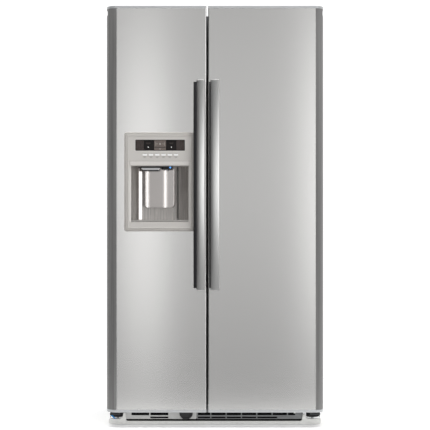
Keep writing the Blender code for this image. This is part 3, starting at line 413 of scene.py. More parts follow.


def handle_section(x, front, back):
    """Plan outline of the bar: a crowned front with round corners and a narrower back."""
    centre, half, corner, rear = middle(x), (x[1] - x[0]) / 2, BAR_CORNER, 0.002
    steps = 10
    places = [mix(-half + corner, half - corner, n / steps) for n in range(steps + 1)]
    crowned = [(centre + u, front + BAR_CROWN * (u / half) ** 2) for u in places]
    edge = front + BAR_CROWN * ((half - corner) / half) ** 2
    right = arc((centre + half - corner, edge + corner), (corner, corner), -90, 0, 4)[1:]
    left = arc((centre - half + corner, edge + corner), (corner, corner), 180, 270, 4)[:-1]
    rear_right = arc((centre + half - 2 * rear, back - rear), (rear, rear), 0, 90, 3)
    rear_left = arc((centre - half + 2 * rear, back - rear), (rear, rear), 90, 180, 3)
    return crowned + right + rear_right + rear_left + left


def make_handle(door, shade_liner_x, reveal):
    """A bowed metal bar on two feet, with a dark liner along its left side as painted shade: the bar's
    shadow and dark reflection.
    """
    node = f"{door}_handle"
    x, y, z = spans(node)
    centre, half = middle(z), (z[1] - z[0]) / 2
    ends = (0, BAR_CHAMFER, 0.005, 0.009, 0.012, 0.014, 0.017)
    heights = [z[0] + step for step in ends]
    heights += [mix(z[0] + ends[-1], z[1] - ends[-1], n / 48) for n in range(1, 48)]
    heights += [z[1] - step for step in ends[::-1]]

    def rings(width, behind, trim):
        """Sections along the bar: behind sets the front face back, trim shortens both ends."""
        stack = []
        for height in heights:
            if height < z[0] + trim - 1e-6 or height > z[1] - trim + 1e-6:
                continue
            from_end = min(height - z[0], z[1] - height)
            bow = (FACE_Y - y[0] - BAR_END_OUT) * (1 - ((height - centre) / half) ** 2)
            chamfer = max(0.0, 1 - from_end / BAR_CHAMFER)
            front = BAR_END_OUT + bow - chamfer * BAR_CHAMFER_IN - behind
            lifted = min(1.0, max(0.0, (from_end - BAR_FOOT) / BAR_LIFT))
            lifted = lifted * lifted * (3 - 2 * lifted)
            back = mix(0.0, BAR_END_OUT + bow - BAR_THICK, lifted)
            narrower = grown(width, -BAR_CHAMFER * chamfer)
            section = handle_section(narrower, FACE_Y - front, FACE_Y - back - 0.0002)
            stack.append(upright("Z", height, section))
        return stack

    bar_x = (x[0] + reveal, x[1])
    bar, liner = loft(rings(bar_x, 0.0, 0.0)), loft(rings(shade_liner_x, SHADE_LINER_BEHIND, SHADE_LINER_SHORT))
    piece(f"{door}_bow_handle", bar, "handle_metal", door, node, sharp=50)
    # Painted shade: the black liner shows left of the bar as its shadow and dark reflection on the door
    piece(f"{door}_handle_shade_liner", liner, "black_plastic", door, sharp=50)
    for end, tip, inward in (("low", z[0], 1), ("high", z[1], -1)):
        cap_z = sorted((tip - inward * 0.0004, tip + inward * 0.003))
        cap_y = (FACE_Y - 0.0045, FACE_Y - 0.0005)
        cap = pillow("Z", cap_z, grown(bar_x, -0.0025), cap_y, 0.0015, 0.0004)
        piece(f"{door}_handle_end_{end}", cap, "handle_end", door)


# Dispenser ------------------------------------------------------------------------------------------
RECESS_RADIUS, RECESS_FRONT = 0.048, 0.0106      # its rear corners, and how far in its walls start
# Each fold's side, its span in x, and its y at the two ends of that span
FOLDS = (("left", (-0.3176, -0.3028), (-0.2725, -0.2671)),
         ("right", (-0.159, -0.15), (-0.265, -0.268)))
PADDLE_WAVE, PADDLE_START = 0.075, -0.2917       # width of one wave, and the x where one begins
PADDLE_STEEP, PADDLE_FALL = 0.27, 0.0035         # share of a wave that falls back, and how deep it goes
PADDLE_CORNER, PADDLE_THICK, PADDLE_ROLL = 0.013, 0.004, 0.0028
TRAY_HIGH = 0.0062


def make_dispenser():
    """The frame on the freezer door, and all that sits in it."""
    x, y, z = spans("dispenser_frame")
    nx, ny, nz = spans("dispenser_niche")
    nx, nz = grown(nx, -LINER_WALL), grown(nz, -LINER_WALL)
    facia_y = y[0] + 0.0016
    make_bezel(x, z, y[0], facia_y)
    make_facia(x, z, nx, nz, y[0], facia_y)
    make_niche(nx, ny, nz)
    make_display(y[0])
    make_buttons(facia_y)
    make_nozzles(nz[1] - 0.0002)
    make_paddle()
    make_tray(nx, ny, nz)


def make_bezel(x, z, proud, facia_y):
    """The moulded frame: a low outer step, a groove, a flat band and a crest that falls to the facia."""
    profile = ((0.0, FACE_Y - 0.0002), (0.0, FACE_Y - 0.0026), (0.0008, FACE_Y - 0.0036),
               (0.003, FACE_Y - 0.0044), (0.0046, FACE_Y - 0.0042), (0.0052, FACE_Y - 0.0022),
               (0.0062, FACE_Y - 0.002), (0.007, FACE_Y - 0.0056), (0.008, FACE_Y - 0.0068),
               (0.0118, FACE_Y - 0.007), (0.0126, FACE_Y - 0.005), (0.0136, FACE_Y - 0.0048),
               (0.0144, proud + 0.0006), (0.0156, proud + 0.0002), (0.0166, proud + 0.001),
               (0.0174, facia_y + 0.0006), (0.021, facia_y + 0.0006))
    rings = [rim("Y", level, x, z, inset, max(0.01 - inset * 0.55, 0.0012)) for inset, level in profile]
    behind = FACE_Y - 0.0004
    rings += [rim("Y", behind, x, z, 0.021, 0.0012), rim("Y", behind, x, z, 0.001, 0.0095)]
    door_piece("dispenser_bezel", loft(rings, closed=True), "bezel_taupe", "dispenser_frame", sharp=30)


def make_facia(x, z, nx, nz, proud, facia_y):
    """The plate inside the bezel, open for the display, buttons and recess, with the recess's visor."""
    fx, fz = grown(x, -0.016), grown(z, -0.016)
    dx, _, dz = spans("display_window")
    through = (proud - 0.01, FACE_Y + 0.02)
    sloped = rounded((nx[0] - 0.0105, nx[1] + 0.0012), (nz[0] - 0.002, nz[1] + 0.017), 0.003, 3)
    straight = rounded(nx, nz, 0.0015, 3)
    holes = [prism("Y", through, rounded(dx, dz, 0.003, 4)),
             loft([upright("Y", facia_y - 0.0005, sloped), upright("Y", facia_y + 0.005, straight),
                   upright("Y", through[1], straight)])]
    for n in BUTTONS:
        bx, _, bz = spans(f"button_{n}")
        holes.append(prism("Y", through, rounded(grown(bx, 0.0004), grown(bz, 0.0004), 0.0012, 3)))
    plate = prism("Y", (facia_y, FACE_Y + 0.01), rounded(fx, fz, 0.002, 4))
    door_piece("dispenser_facia", carved(plate, *holes), "bezel_taupe", soft=0.0005, sharp=30)

    low, high = nz[1] + 0.0015, nz[1] + 0.019
    section = [(facia_y + 0.001, high), (facia_y - 0.0008, high), (facia_y - 0.0052, low + 0.0026),
               (facia_y - 0.005, low + 0.0008), (facia_y - 0.0034, low), (facia_y + 0.001, low)]
    visor = prism("X", grown(nx, 0.004), section)
    door_piece("recess_visor", visor, "bezel_taupe", soft=0.0006, sharp=25)
    # Painted shade: a flat grey strip above the visor stands for the shade in a groove
    groove_z = (high + 0.0008, high + 0.0018)
    groove = pillow("Y", (facia_y - 0.0002, facia_y + 0.001), grown(fx, -0.002), groove_z, 0.0004, 0.0001)
    door_piece("facia_groove_shade", groove, "print_grey")


def recess_outline(x, front, back, radius, steps=14):
    """Plan of the recess: a U with round inner corners, open to the front."""
    return ([(x[0], front), (x[1], front)]
            + arc((x[1] - radius, back - radius), (radius, radius), 0, 90, steps)
            + arc((x[0] + radius, back - radius), (radius, radius), 90, 180, steps))


def make_niche(x, y, z):
    """The recess's shell, open to the chute, with a metal fold in each rear corner."""
    front, back = FACE_Y + RECESS_FRONT, y[1] - LINER_WALL
    shell = prism("Z", grown(z, LINER_WALL),
                  recess_outline(grown(x, LINER_WALL), front, y[1], RECESS_RADIUS + LINER_WALL))
    inside = prism("Z", z, recess_outline(x, front - 0.02, back, RECESS_RADIUS))
    hole = prism("Z", (z[1] - 0.004, z[1] + 0.01), rounded(*CHUTE_MOUTH, 0.003, 4))
    door_piece("dispenser_recess", carved(shell, inside, hole), "recess_metal", "dispenser_niche", sharp=45)
    for side, (left, right), (near, far) in FOLDS:
        plan = [(left, near), (right, far), (right, back + 0.0006), (left, back + 0.0006)]
        fold = prism("Z", grown(z, -0.0012), plan)
        door_piece(f"recess_fold_{side}", fold, "niche_metal", soft=0.001, sharp=50)


def make_display(proud):
    """The dark window with its cells, lamps and a small screen; the marks are plain generic bars."""
    x, _, z = spans("display_window")
    back = proud + 0.0036
    wide = x[1] - x[0]
    low, high = grown(z, -0.0022)
    tall = high - low
    mark_y = (back - 0.001, back - 0.0005)
    window = pillow("Y", (back, FACE_Y + 0.009), grown(x, 0.0002), grown(z, 0.0002), 0.003, 0.0008)
    door_piece("display_glass", window, "window_black", "display_window")
    cells = ((0.012, 0.17, "cell_grey"), (0.178, 0.372, "window_black"), (0.38, 0.618, "lcd_taupe"),
             (0.626, 0.82, "window_black"), (0.828, 0.988, "cell_grey"))
    for number, (start, end, look) in enumerate(cells, 1):
        cell_x = (x[0] + wide * start, x[0] + wide * end)
        cell = pillow("Y", (back - 0.0007, back + 0.0004), cell_x, (low, high), 0.0012, 0.0003)
        door_piece(f"display_cell_{number}", cell, look)
    for name, share in (("left", 0.262), ("right", 0.726)):
        centre = x[0] + wide * share
        lamp = turned([(0.0, -0.001), (0.0012, -0.0009), (0.0019, -0.0004), (0.0021, 0.0004)],
                      (centre, back - 0.0006, low + tall * 0.3), "Y", 16)
        door_piece(f"indicator_{name}", lamp, "lamp_white")
        for row, (half, height) in enumerate(((0.0095, 0.71), (0.007, 0.62)), 1):
            level = low + tall * height
            mark = pillow("Y", mark_y, around(centre, half), (level, level + 0.0016), 0.0006, 0.0002)
            door_piece(f"indicator_{name}_mark_{row}", mark, "cell_grey")
    screen = (x[0] + wide * 0.385, x[0] + wide * 0.613)
    marks = ((0.0, 1.0, 0.25, 0.33, "lcd_mark"), (0.1, 0.13, 0.45, 0.82, "screen_light"),
             (0.87, 0.9, 0.45, 0.82, "screen_light"), (0.16, 0.3, 0.62, 0.66, "screen_light"),
             (0.7, 0.84, 0.62, 0.66, "screen_light"), (0.44, 0.56, 0.54, 0.72, "screen_light"),
             (0.42, 0.58, 0.08, 0.16, "screen_light"))
    for number, (left, right, bottom, top, look) in enumerate(marks, 1):
        mark = pillow("Y", mark_y, (mix(*screen, left), mix(*screen, right)),
                      (low + tall * bottom, low + tall * top), 0.0006, 0.0002)
        door_piece(f"screen_mark_{number}", mark, look)


def make_buttons(facia_y):
    """The bar keys, each with two plain printed bars under it."""
    for n in BUTTONS:
        x, y, z = spans(f"button_{n}")
        key = pillow("Y", (y[0] + 0.0002, y[1]), x, (z[0], z[1] - 0.0014), 0.0012, 0.0005)
        piece(f"key_{n}", key, "button_white", f"button_{n}", f"button_{n}")
        for mark, (half, drop) in enumerate(((0.006, 0.005), (0.004, 0.0086)), 1):
            bar_x, bar_z = around(middle(x), half), around(z[0] - drop, 0.0008)
            bar = pillow("Y", around(facia_y, 0.0003), bar_x, bar_z, 0.0006, 0.00015)
            door_piece(f"key_{n}_mark_{mark}", bar, "print_grey")


def make_nozzles(top):
    """The ice chute's tapered mouth and the water outlet beside it, hanging from the recess's ceiling."""
    cx, mouth_y = CHUTE_MOUTH
    cy = (mouth_y[0] + 0.004, mouth_y[1] - 0.024)
    low = top - 0.0195

    def ring(level, inset, radius, less_x=0.0, less_y=0.0):
        """A section of the chute: it tapers less from front to back than from side to side."""
        u, v = grown(cx, -inset - less_x), grown(cy, -inset * 0.6 - less_y)
        return upright("Z", level, rounded(u, v, radius, 6))

    outside = ((top, -0.003), (top - 0.007, -0.002), (low + 0.003, 0.0058), (low, 0.008))
    inside = ((low, 0.0076), (low + 0.004, 0.0066), (top, 0.0))
    chute = [ring(level, inset, 0.006) for level, inset in outside]
    chute += [ring(level, inset, 0.004, 0.0028, 0.0028) for level, inset in inside]
    door_piece("ice_chute_nozzle", loft(chute, closed=True), "black_plastic", sharp=50)
    edges = ((top - 0.007, -0.0022), (top - 0.0155, 0.0046))
    band = [ring(level, inset, 0.006, 0.0, -0.0004) for level, inset in edges]
    band += [ring(level, inset, 0.005, 0.001, 0.0006) for level, inset in edges[::-1]]
    door_piece("ice_chute_band", loft(band, closed=True), "chrome", sharp=50)

    wx, wy = (cx[1] + 0.003, cx[1] + 0.051), (cy[0] + 0.002, cy[1])
    housing = [rim("Z", level, wx, wy, inset, 0.008)
               for level, inset in ((top, 0.0), (top - 0.008, 0.0006), (top - 0.013, 0.003),
                                    (top - 0.0142, 0.007))]
    door_piece("water_outlet_housing", loft(housing), "black_plastic", sharp=50)
    nozzle = turned([(0.0035, top - 0.013), (0.0042, top - 0.0145), (0.004, top - 0.018),
                     (0.0026, top - 0.0185), (0.002, top - 0.0165)], (middle(wx), middle(wy), 0), "Z", 20)
    door_piece("water_nozzle", nozzle, "inner_grey")
    lamp = turned([(0.0, -0.0016), (0.0026, -0.0012), (0.004, 0.0), (0.004, 0.003)],
                  (wx[1] - 0.0105, wy[0] + 0.0006, top - 0.0048), "Y", 20)
    door_piece("water_lamp", lamp, "lamp_blue")


def make_paddle():
    """The waved plate that a glass pushes, with round lower corners."""
    x, y, z = spans("dispenser_paddle")
    half = (x[1] - x[0]) / 2
    across, up = 72, 26

    def reach(height):
        """Half the plate's width at a height, less in the round corners."""
        if height - z[0] >= PADDLE_CORNER:
            return half
        below = PADDLE_CORNER - (height - z[0])
        return half - PADDLE_CORNER + math.sqrt(max(0.0, PADDLE_CORNER ** 2 - below ** 2))

    def depth(place):
        """Each wave falls back quickly and comes forward again slowly."""
        share = (place - PADDLE_START) / PADDLE_WAVE % 1.0
        if share < PADDLE_STEEP:
            turn = share / PADDLE_STEEP
            return PADDLE_FALL * (turn - math.sin(math.tau * turn) / math.tau)
        return PADDLE_FALL * (1 - (share - PADDLE_STEEP) / (1 - PADDLE_STEEP))

    shape = bmesh.new()

    def skin(shift, roll):
        """A grid of vertices over the plate; its side edges roll back."""
        rows = []
        for j in range(up + 1):
            height = z[0] + (z[1] - z[0]) * (j / up) ** 1.6
            row = []
            for i in range(across + 1):
                u = mix(-1, 1, i / across)
                place = middle(x) + u * reach(height)
                edge = PADDLE_ROLL * max(0.0, abs(u) - 0.95) / 0.05
                level = y[0] + 0.0015 + depth(place) + shift + edge * roll
                row.append(shape.verts.new((place, level, height)))
            rows.append(row)
        for low, high in zip(rows, rows[1:]):
            for i in range(across):
                shape.faces.new((low[i], low[i + 1], high[i + 1], high[i]))
        return rows

    near, far = skin(0, 1), skin(PADDLE_THICK, 0.3)
    for row in (0, -1):
        for i in range(across):
            shape.faces.new((near[row][i], near[row][i + 1], far[row][i + 1], far[row][i]))
    for j in range(up):
        for end in (0, -1):
            shape.faces.new((near[j][end], near[j + 1][end], far[j + 1][end], far[j][end]))
    bmesh.ops.recalc_face_normals(shape, faces=shape.faces)
    piece("waved_paddle", bake(shape), "niche_metal", "dispenser_paddle", "dispenser_paddle", sharp=60)


def make_tray(x, y, z):
    """The drip tray on the recess's floor: a raised lip and a slotted grid."""
    front, back = FACE_Y - 0.005, y[1] - 0.004
    floor = z[0] + 0.0002
    edge = recess_outline(grown(x, -0.0006), front, back - 0.001, 0.047)
    hollow = recess_outline(grown(x, -0.0045), front + 0.0075, back - 0.005, 0.04)
    tray = prism("Z", (floor, floor + TRAY_HIGH), edge)
    pool = prism("Z", (floor + 0.002, floor + 0.02), hollow)
    door_piece("drip_tray", carved(tray, pool), "tray_taupe", soft=0.0012, sharp=45)
    bars = []
    count = 15
    for n in range(count):
        bar_x = around(mix(x[0] + 0.012, x[1] - 0.012, n / (count - 1)), 0.0028)
        shorter = {0: 0.018, 1: 0.006}.get(min(n, count - 1 - n), 0.0)
        bar_y = (front + 0.012, back - 0.009 - shorter)
        bars.append(pillow("Z", (floor + 0.0022, floor + TRAY_HIGH), bar_x, bar_y, 0.0024, 0.001, 4))
    cross_y = (front + 0.03, front + 0.034)
    bars.append(pillow("Z", (floor + 0.002, floor + 0.0046), grown(x, -0.008), cross_y, 0.0015, 0.0008, 3))
    door_piece("drip_grid", joined(*bars), "inner_grey", sharp=50)


# Base -----------------------------------------------------------------------------------------------
BUMPER_Y, PANEL_Y, SHADE_BACKING_Y = (-0.2415, -0.2262), (-0.2352, -0.2322), (-0.2275, -0.224)
BUMPER_LOW, BUMPER_FLOOR, BUMPER_ROUND = 0.005, 0.0186, 0.009
EAR_HIGH, EAR_EDGE = 0.028, 0.003
# The hollow in each ear that a wheel sits in: its centre and its radii
LEFT_EAR, RIGHT_EAR = ((-0.403, 0.0485), (0.019, 0.0205)), ((0.393, 0.0445), (0.0185, 0.0165))
PANEL_Z = (0.0262, 0.08)
# The two rows of slots, and half of the wall between two slots
SLOT_UPPER, SLOT_LOWER, SLOT_WALL = (0.0418, 0.054), (0.029, 0.0362), 0.0022
DIVIDERS = [0.0465 + 0.0642 * n for n in range(-1, 5)]     # walls between the right panel's slots


def make_base():
    """The bumper, the panels behind it, the filter knob, the feet and what shows at the hinges."""
    make_bumper()
    make_kick_panels()
    make_filter_knob()
    for side in SIDES:
        make_foot(side)
    make_hinge_corners()


def make_bumper():
    """A pale bumper along the front with a round ear at each end, where the levelling wheels show."""
    edge = spans("base_grille")[0][1]
    low, floor, size = BUMPER_LOW, BUMPER_FLOOR, BUMPER_ROUND
    outline = [(-edge + size, low), (edge - size, low)]
    outline += arc((edge - size, low + size), (size, size), -90, 0, 6)
    outline += [(edge, EAR_HIGH - EAR_EDGE), (edge - 0.004, EAR_HIGH)]
    outline += arc(*RIGHT_EAR, 270, 185, 7) + [(0.3735, 0.0465), (0.367, 0.0465)]
    outline += arc((0.3555, floor + size), (size, size), 0, -90, 6)
    outline += arc((-0.364, floor + size), (size, size), 270, 180, 6)
    outline += [(-0.3745, 0.0525), (-0.383, 0.0525)] + arc(*LEFT_EAR, 0, -88, 7)
    outline += [(-edge + 0.004, EAR_HIGH), (-edge, EAR_HIGH - EAR_EDGE)]
    outline += arc((-edge + size, low + size), (size, size), 180, 262, 6)
    bumper = prism("Y", BUMPER_Y, outline)
    piece("kick_bumper", bumper, "base_silver", replaces="base_grille", soft=0.0012, sharp=40)


def slots(z, start, end, dividers=()):
    """Cutters for a row of slots with a wall at each divider."""
    stops = [start, *dividers, end]
    return [prism("Y", (-0.25, -0.22), rounded(grown(pair, -SLOT_WALL), z, 0.0012, 3))
            for pair in zip(stops, stops[1:])]


def make_kick_panels():
    """Two slotted panels darkened as painted shade, a black backing behind them as painted shade, and a rib
    and a clip at the right end.
    """
    left_slots = slots(SLOT_UPPER, -0.352, -0.193, (-0.273,)) + slots(SLOT_LOWER, -0.273, -0.193)
    right_slots = slots(SLOT_UPPER, -0.074, 0.338, DIVIDERS)
    right_slots += slots(SLOT_LOWER, -0.074, 0.263, DIVIDERS[:4])
    for side, x, cuts, look in (("left", (-0.3745, -0.0775), left_slots, "shaded_panel_silver"),
                                ("right", (-0.077, 0.3665), right_slots, "shaded_grille_grey")):
        panel = prism("Y", PANEL_Y, rounded(x, PANEL_Z, 0.004, 4))
        piece(f"kick_panel_{side}", carved(panel, *cuts), look, soft=0.0006, sharp=40)
    # Painted shade: the black backing is the shade seen through the slots
    backing = prism("Y", SHADE_BACKING_Y, rounded((-0.376, 0.368), (0.011, 0.082), 0.003))
    piece("kick_shade_backing", backing, "shade_black")
    rib = pillow("Y", (-0.2366, -0.235), (0.268, 0.326), (0.034, 0.0362), 0.001, 0.0006)
    piece("kick_rib", rib, "shaded_grille_grey")
    clip = pillow("Y", (-0.238, -0.235), (0.33, 0.3365), (0.05, 0.056), 0.001, 0.0008)
    piece("kick_clip", clip, "base_silver")


def make_filter_knob():
    """A dished round knob with a bar across it to grip."""
    x, y, z = spans("filter_cap")
    radius = (x[1] - x[0]) / 2
    front, back = y
    cap = [(0.0, front + 0.003), (radius - 0.0095, front + 0.003), (radius - 0.008, front + 0.0012),
           (radius - 0.005, front), (radius - 0.0012, front + 0.0006), (radius, front + 0.0024),
           (radius, front + 0.012), (radius - 0.004, front + 0.013), (radius - 0.004, back - 0.012),
           (radius - 0.01, back), (0.0, back)]
    knob = turned(cap, (middle(x), 0, middle(z)), "Y", 64)
    grip_x = (middle(x) - radius + 0.006, middle(x) + radius - 0.006)
    grip = pillow("Y", (front - 0.0022, front + 0.004), grip_x, around(middle(z), 0.004), 0.003, 0.0014)
    piece("filter_knob", joined(knob, grip), "black_plastic", "filter_cap", "filter_cap", sharp=45)


def make_foot(side):
    """A levelling foot: a pad and stem, and the toothed wheel that turns it."""
    node = f"foot_{side}"
    x, y, _ = spans(node)
    radius = (x[1] - x[0]) / 2
    centre = (middle(x), middle(y), 0)
    wheel = [(0.0075, 0.032), (radius - 0.004, 0.032), (radius - 0.0005, 0.033), (radius, 0.0355),
             (radius, 0.05), (radius - 0.0005, 0.0525), (radius - 0.004, 0.0545), (0.0075, 0.0545)]
    stem = [(0.0, 0.002), (0.012, 0.002), (0.016, 0.0045), (0.016, 0.009), (0.007, 0.012),
            (0.006, 0.014), (0.006, 0.079), (0.0, 0.079)]
    pad = [(0.0, 0.0), (0.015, 0.0), (0.016, 0.0008), (0.016, 0.0022), (0.0, 0.0022)]
    leg = joined(*[turned(profile, centre, "Z", 32) for profile in (stem, pad)])
    piece(f"levelling_foot_{side}", leg, "zinc", node, node, sharp=45)
    piece(f"levelling_wheel_{side}", turned(wheel, centre, "Z", 240, 30, 0.0022), "black_plastic", node,
          slot="zinc", sharp=45)


def make_hinge_corners():
    """The stub of the blue water tube with its coupling, and black plates behind the lower hinges that
    paint the shade in their pockets.
    """
    path = smooth_path([(-0.4365, -0.233, 0.05), (-0.433, -0.2365, 0.0445), (-0.427, -0.2385, 0.037),
                        (-0.421, -0.237, 0.0305), (-0.415, -0.232, 0.027)], 5)
    piece("water_tube", sweep(path, 0.0031, 14), "blue_tube", sharp=60)
    coupling = [(0.0, 0.0), (0.004, 0.0), (0.0044, 0.001), (0.0044, 0.006), (0.003, 0.0072), (0.0, 0.0072)]
    piece("water_coupling", turned(coupling, (-0.4345, -0.238, 0.051), "Y", 20), "brass")
    pocket = ((0.44, 0.03), (0.39, 0.03), (0.39, 0.045), (0.399, 0.06), (0.44, 0.06))
    for side, sign in zip(SIDES, (-1, 1)):
        outline = [(sign * x, z) for x, z in pocket]
        # Painted shade: a flat black plate behind each lower hinge makes its pocket dark
        piece(f"hinge_pocket_shade_{side}", prism("Y", (-0.16, -0.157), outline[::sign]), "black_enamel")


# Cabinet top and back -------------------------------------------------------------------------------
SCREW_RADIUS, SCREW_HEAD = 0.0042, 0.0026
# Heights of a hinge cover's lowest rings, and how far its top stands over the hinge
COVER_FOOT, COVER_RISE = (1.7125, 1.724, 1.73), 0.0215
RIB_LEVELS, RIB_INDENT, RIB_HALF = (0.52, 0.84, 1.16, 1.48), 0.07, 0.02


def screw(name, centre, axis):
    """A pan head screw with a cross, its head facing along the axis."""
    radius = SCREW_RADIUS
    profile = [(0.0, 0.0), (radius, 0.0), (radius, 0.001), (radius * 0.75, 0.0022), (0.0, SCREW_HEAD)]
    along = "XYZ".index(axis)
    level = centre[along] + SCREW_HEAD
    u, v = [centre[n] for n in range(3) if n != along]
    cuts = [pillow(axis, (level - 0.0012, level + 0.001), around(u, a), around(v, b), 0.0002, 0.0001, 2)
            for a, b in ((radius * 0.6, 0.0004), (0.0004, radius * 0.6))]
    piece(name, carved(turned(profile, centre, axis, 20), *cuts), "aluminium", sharp=45)


def make_top():
    """Domed covers over the two top hinges, held by a screw each."""
    for side in SIDES:
        x, y, z = spans(f"hinge_top_{side}")
        top = z[1] + COVER_RISE
        dome = [*zip((0.0, 0.0, 0.0012), COVER_FOOT), (0.0045, top - 0.003), (0.01, top - 0.0004)]
        dome.append((0.016, top))
        rings = [rim("Z", level, grown(x, 0.004), (y[0] + 0.046, y[1] + 0.01), inset, 0.012)
                 for inset, level in dome]
        piece(f"hinge_cover_{side}", loft(rings), "case_grey", sharp=50)
        screw(f"hinge_cover_screw_{side}", (middle(x), y[1] - 0.012, top), "Z")


def make_back():
    """Pressed ribs on the back panel, and the screws round it and round the machine cover."""
    x, (_, back), z = spans("back_panel")
    for n, level in enumerate(RIB_LEVELS, 1):
        rib = [rim("Y", back + out, grown(x, -RIB_INDENT), around(level, RIB_HALF), inset, RIB_HALF, 8)
               for inset, out in ((0.0, -0.0006), (0.0008, 0.001), (0.0045, 0.0034), (0.008, 0.004))]
        piece(f"back_rib_{n}", loft(rib), "zinc", sharp=60)
    left, right, top = x[0] + 0.012, x[1] - 0.012, z[1] - 0.012
    spots = [(px, z[0] + 0.04 + 0.42 * n) for px in (left, right) for n in range(4)]
    spots += [(px, top) for px in (-0.28, 0.0, 0.28)]
    for n, (px, pz) in enumerate(spots, 1):
        screw(f"back_screw_{n}", (px, back, pz), "Y")
    x, (_, back), z = spans("machine_cover")
    left, right, top, low = x[0] + 0.014, x[1] - 0.014, z[1] - 0.012, z[0] + 0.016
    for n, (px, pz) in enumerate(((left, top), (0.0, top), (right, top), (left, low), (right, low)), 1):
        screw(f"cover_screw_{n}", (px, back, pz), "Y")


# Inside ---------------------------------------------------------------------------------------------
# Each tub's piece, node and body
TUBS = (("freezer_basket_tub", "freezer_basket", "freezer_basket"),
        ("upper_crisper_tub", "crisper_upper", "crisper_upper"),
        ("lower_crisper_tub", "crisper_lower", "crisper_lower"))
BINS = (("freezer_door_bin", "freezer_bin", "freezer_door"),
        ("fridge_door_bin_low", "fridge_bin_lower", "fridge_door"),
        ("fridge_door_bin_high", "fridge_bin_upper", "fridge_door"))
TUB_WALL = 0.0026
HOUSING_Y, LENS_Y, DIAL_Y = (-0.15, -0.02), (-0.13, -0.04), -0.085
FREEZER_LENS_Z, FAN_GRILLE_Z, FAN_GRILLE_REACH = (1.44, 1.485), 1.105, 0.05
RETURN_SLOTS_Z = (0.455, 0.475, 0.495)


def make_tub(name, node, body, taper=0.008, radius=0.018, lip=0.006):
    """An open tub with tapered sides and a rolled lip."""
    x, y, (low, high) = spans(node)
    inner = TUB_WALL + lip
    steps = ((lip + taper + 0.006, low), (lip + taper + 0.0016, low + 0.0018), (lip + taper, low + 0.006),
             (lip, high - 0.012), (lip * 0.4, high - 0.0105), (0.0, high - 0.008), (0.0, high - 0.0016),
             (0.0016, high), (inner - 0.001, high), (inner, high - 0.0016), (inner + taper, low + 0.008),
             (inner + taper + 0.003, low + 0.004), (inner + taper + 0.008, low + TUB_WALL))
    rings = [rim("Z", level, x, y, inset, max(radius - inset, 0.004)) for inset, level in steps]
    piece(name, loft(rings), "clear_plastic", body, node, sharp=45)


def make_tub_front(name, node, body):
    """A drawer's thick front with a hollow for the fingers."""
    x, (front, _), (_, high) = spans(node)
    bar_y = (front, front + 0.016)
    bar = pillow("Z", (high - 0.03, high + 0.0004), grown(x, -0.004), bar_y, 0.006, 0.003, 5)
    hollow_y = (front - 0.01, front + 0.012)
    hollow = pillow("Z", (high - 0.04, high - 0.008), around(middle(x), 0.07), hollow_y, 0.008, 0.004, 6)
    piece(f"{name}_front", carved(bar, hollow), "frosted_plastic", body, sharp=45)


def make_shelf(node):
    """A glass plate in a white frame: side rails, a deep front trim and a raised back stop."""
    x, y, (low, top) = spans(node)
    frame_x = grown(x, -0.001)
    glass = pillow("Z", (top - 0.005, top - 0.0008), grown(x, -0.006), grown(y, -0.007), 0.004, 0.0008)
    piece(f"{node}_glass", glass, "glass", replaces=node, sharp=45)
    front = pillow("X", frame_x, (y[0], y[0] + 0.014), (low, top), 0.0045, 0.0015)
    rear = pillow("X", frame_x, (y[1] - 0.012, y[1]), (low + 0.002, top + 0.006), 0.004, 0.0015)
    rails = [pillow("Y", (y[0] + 0.01, y[1] - 0.008), span, (low + 0.002, top), 0.002, 0.001)
             for span in ((frame_x[0], x[0] + 0.01), (x[1] - 0.01, frame_x[1]))]
    piece(f"{node}_frame", joined(front, rear, *rails), "frosted_plastic", sharp=45)


def make_ledges(liner, shelves):
    """A pair of ribs on the liner's walls under each shelf."""
    left, right = grown(spans(liner)[0], -LINER_WALL)
    for shelf in shelves:
        _, y, z = spans(shelf)
        rib_y, rib_z = (y[0] + 0.02, y[1] - 0.006), (z[0] - 0.0105, z[0] - 0.0006)
        for side, span in zip(SIDES, ((left - 0.0004, left + 0.0075), (right - 0.0075, right + 0.0004))):
            rib = pillow("Y", rib_y, span, rib_z, 0.003, 0.003)
            piece(f"{shelf}_ledge_{side}", rib, "liner_white", sharp=50)


def make_lamps():
    """The fresh food room's control and lamp housing with its two dials, and the freezer's lamp."""
    x, _, z = spans("fridge_liner")
    ceiling = z[1] - 0.0022
    housing = pillow("Z", (ceiling - 0.036, ceiling), grown(x, -0.06), HOUSING_Y, 0.016, 0.008, 6)
    piece("control_housing", housing, "inner_grey", sharp=50)
    lens = pillow("Z", (ceiling - 0.0395, ceiling - 0.034), grown(x, -0.15), LENS_Y, 0.012, 0.003, 6)
    piece("fridge_lamp_lens", lens, "lamp_lens", sharp=50)
    dial = [(0.0, 0.0), (0.0165, 0.0), (0.018, -0.0015), (0.017, -0.011), (0.015, -0.0125), (0.0, -0.0125)]
    for n, px in enumerate(grown(x, -0.092), 1):
        knob = turned(dial, (px, DIAL_Y, ceiling - 0.036), "Z", 36, 18, 0.001)
        piece(f"control_dial_{n}", knob, "liner_white", sharp=45)
        mark_y, mark_z = (DIAL_Y - 0.015, DIAL_Y - 0.003), (ceiling - 0.049, ceiling - 0.0483)
        mark = pillow("Z", mark_z, around(px, 0.001), mark_y, 0.0006, 0.0002)
        piece(f"control_dial_{n}_mark", mark, "print_grey")
    x, (front, _), _ = spans("evaporator_cover")
    lens_x = around(middle(x), 0.06)
    lens = pillow("Y", (front - 0.011, front + 0.0004), lens_x, FREEZER_LENS_Z, 0.01, 0.004, 6)
    piece("freezer_lamp_lens", lens, "lamp_lens", sharp=50)


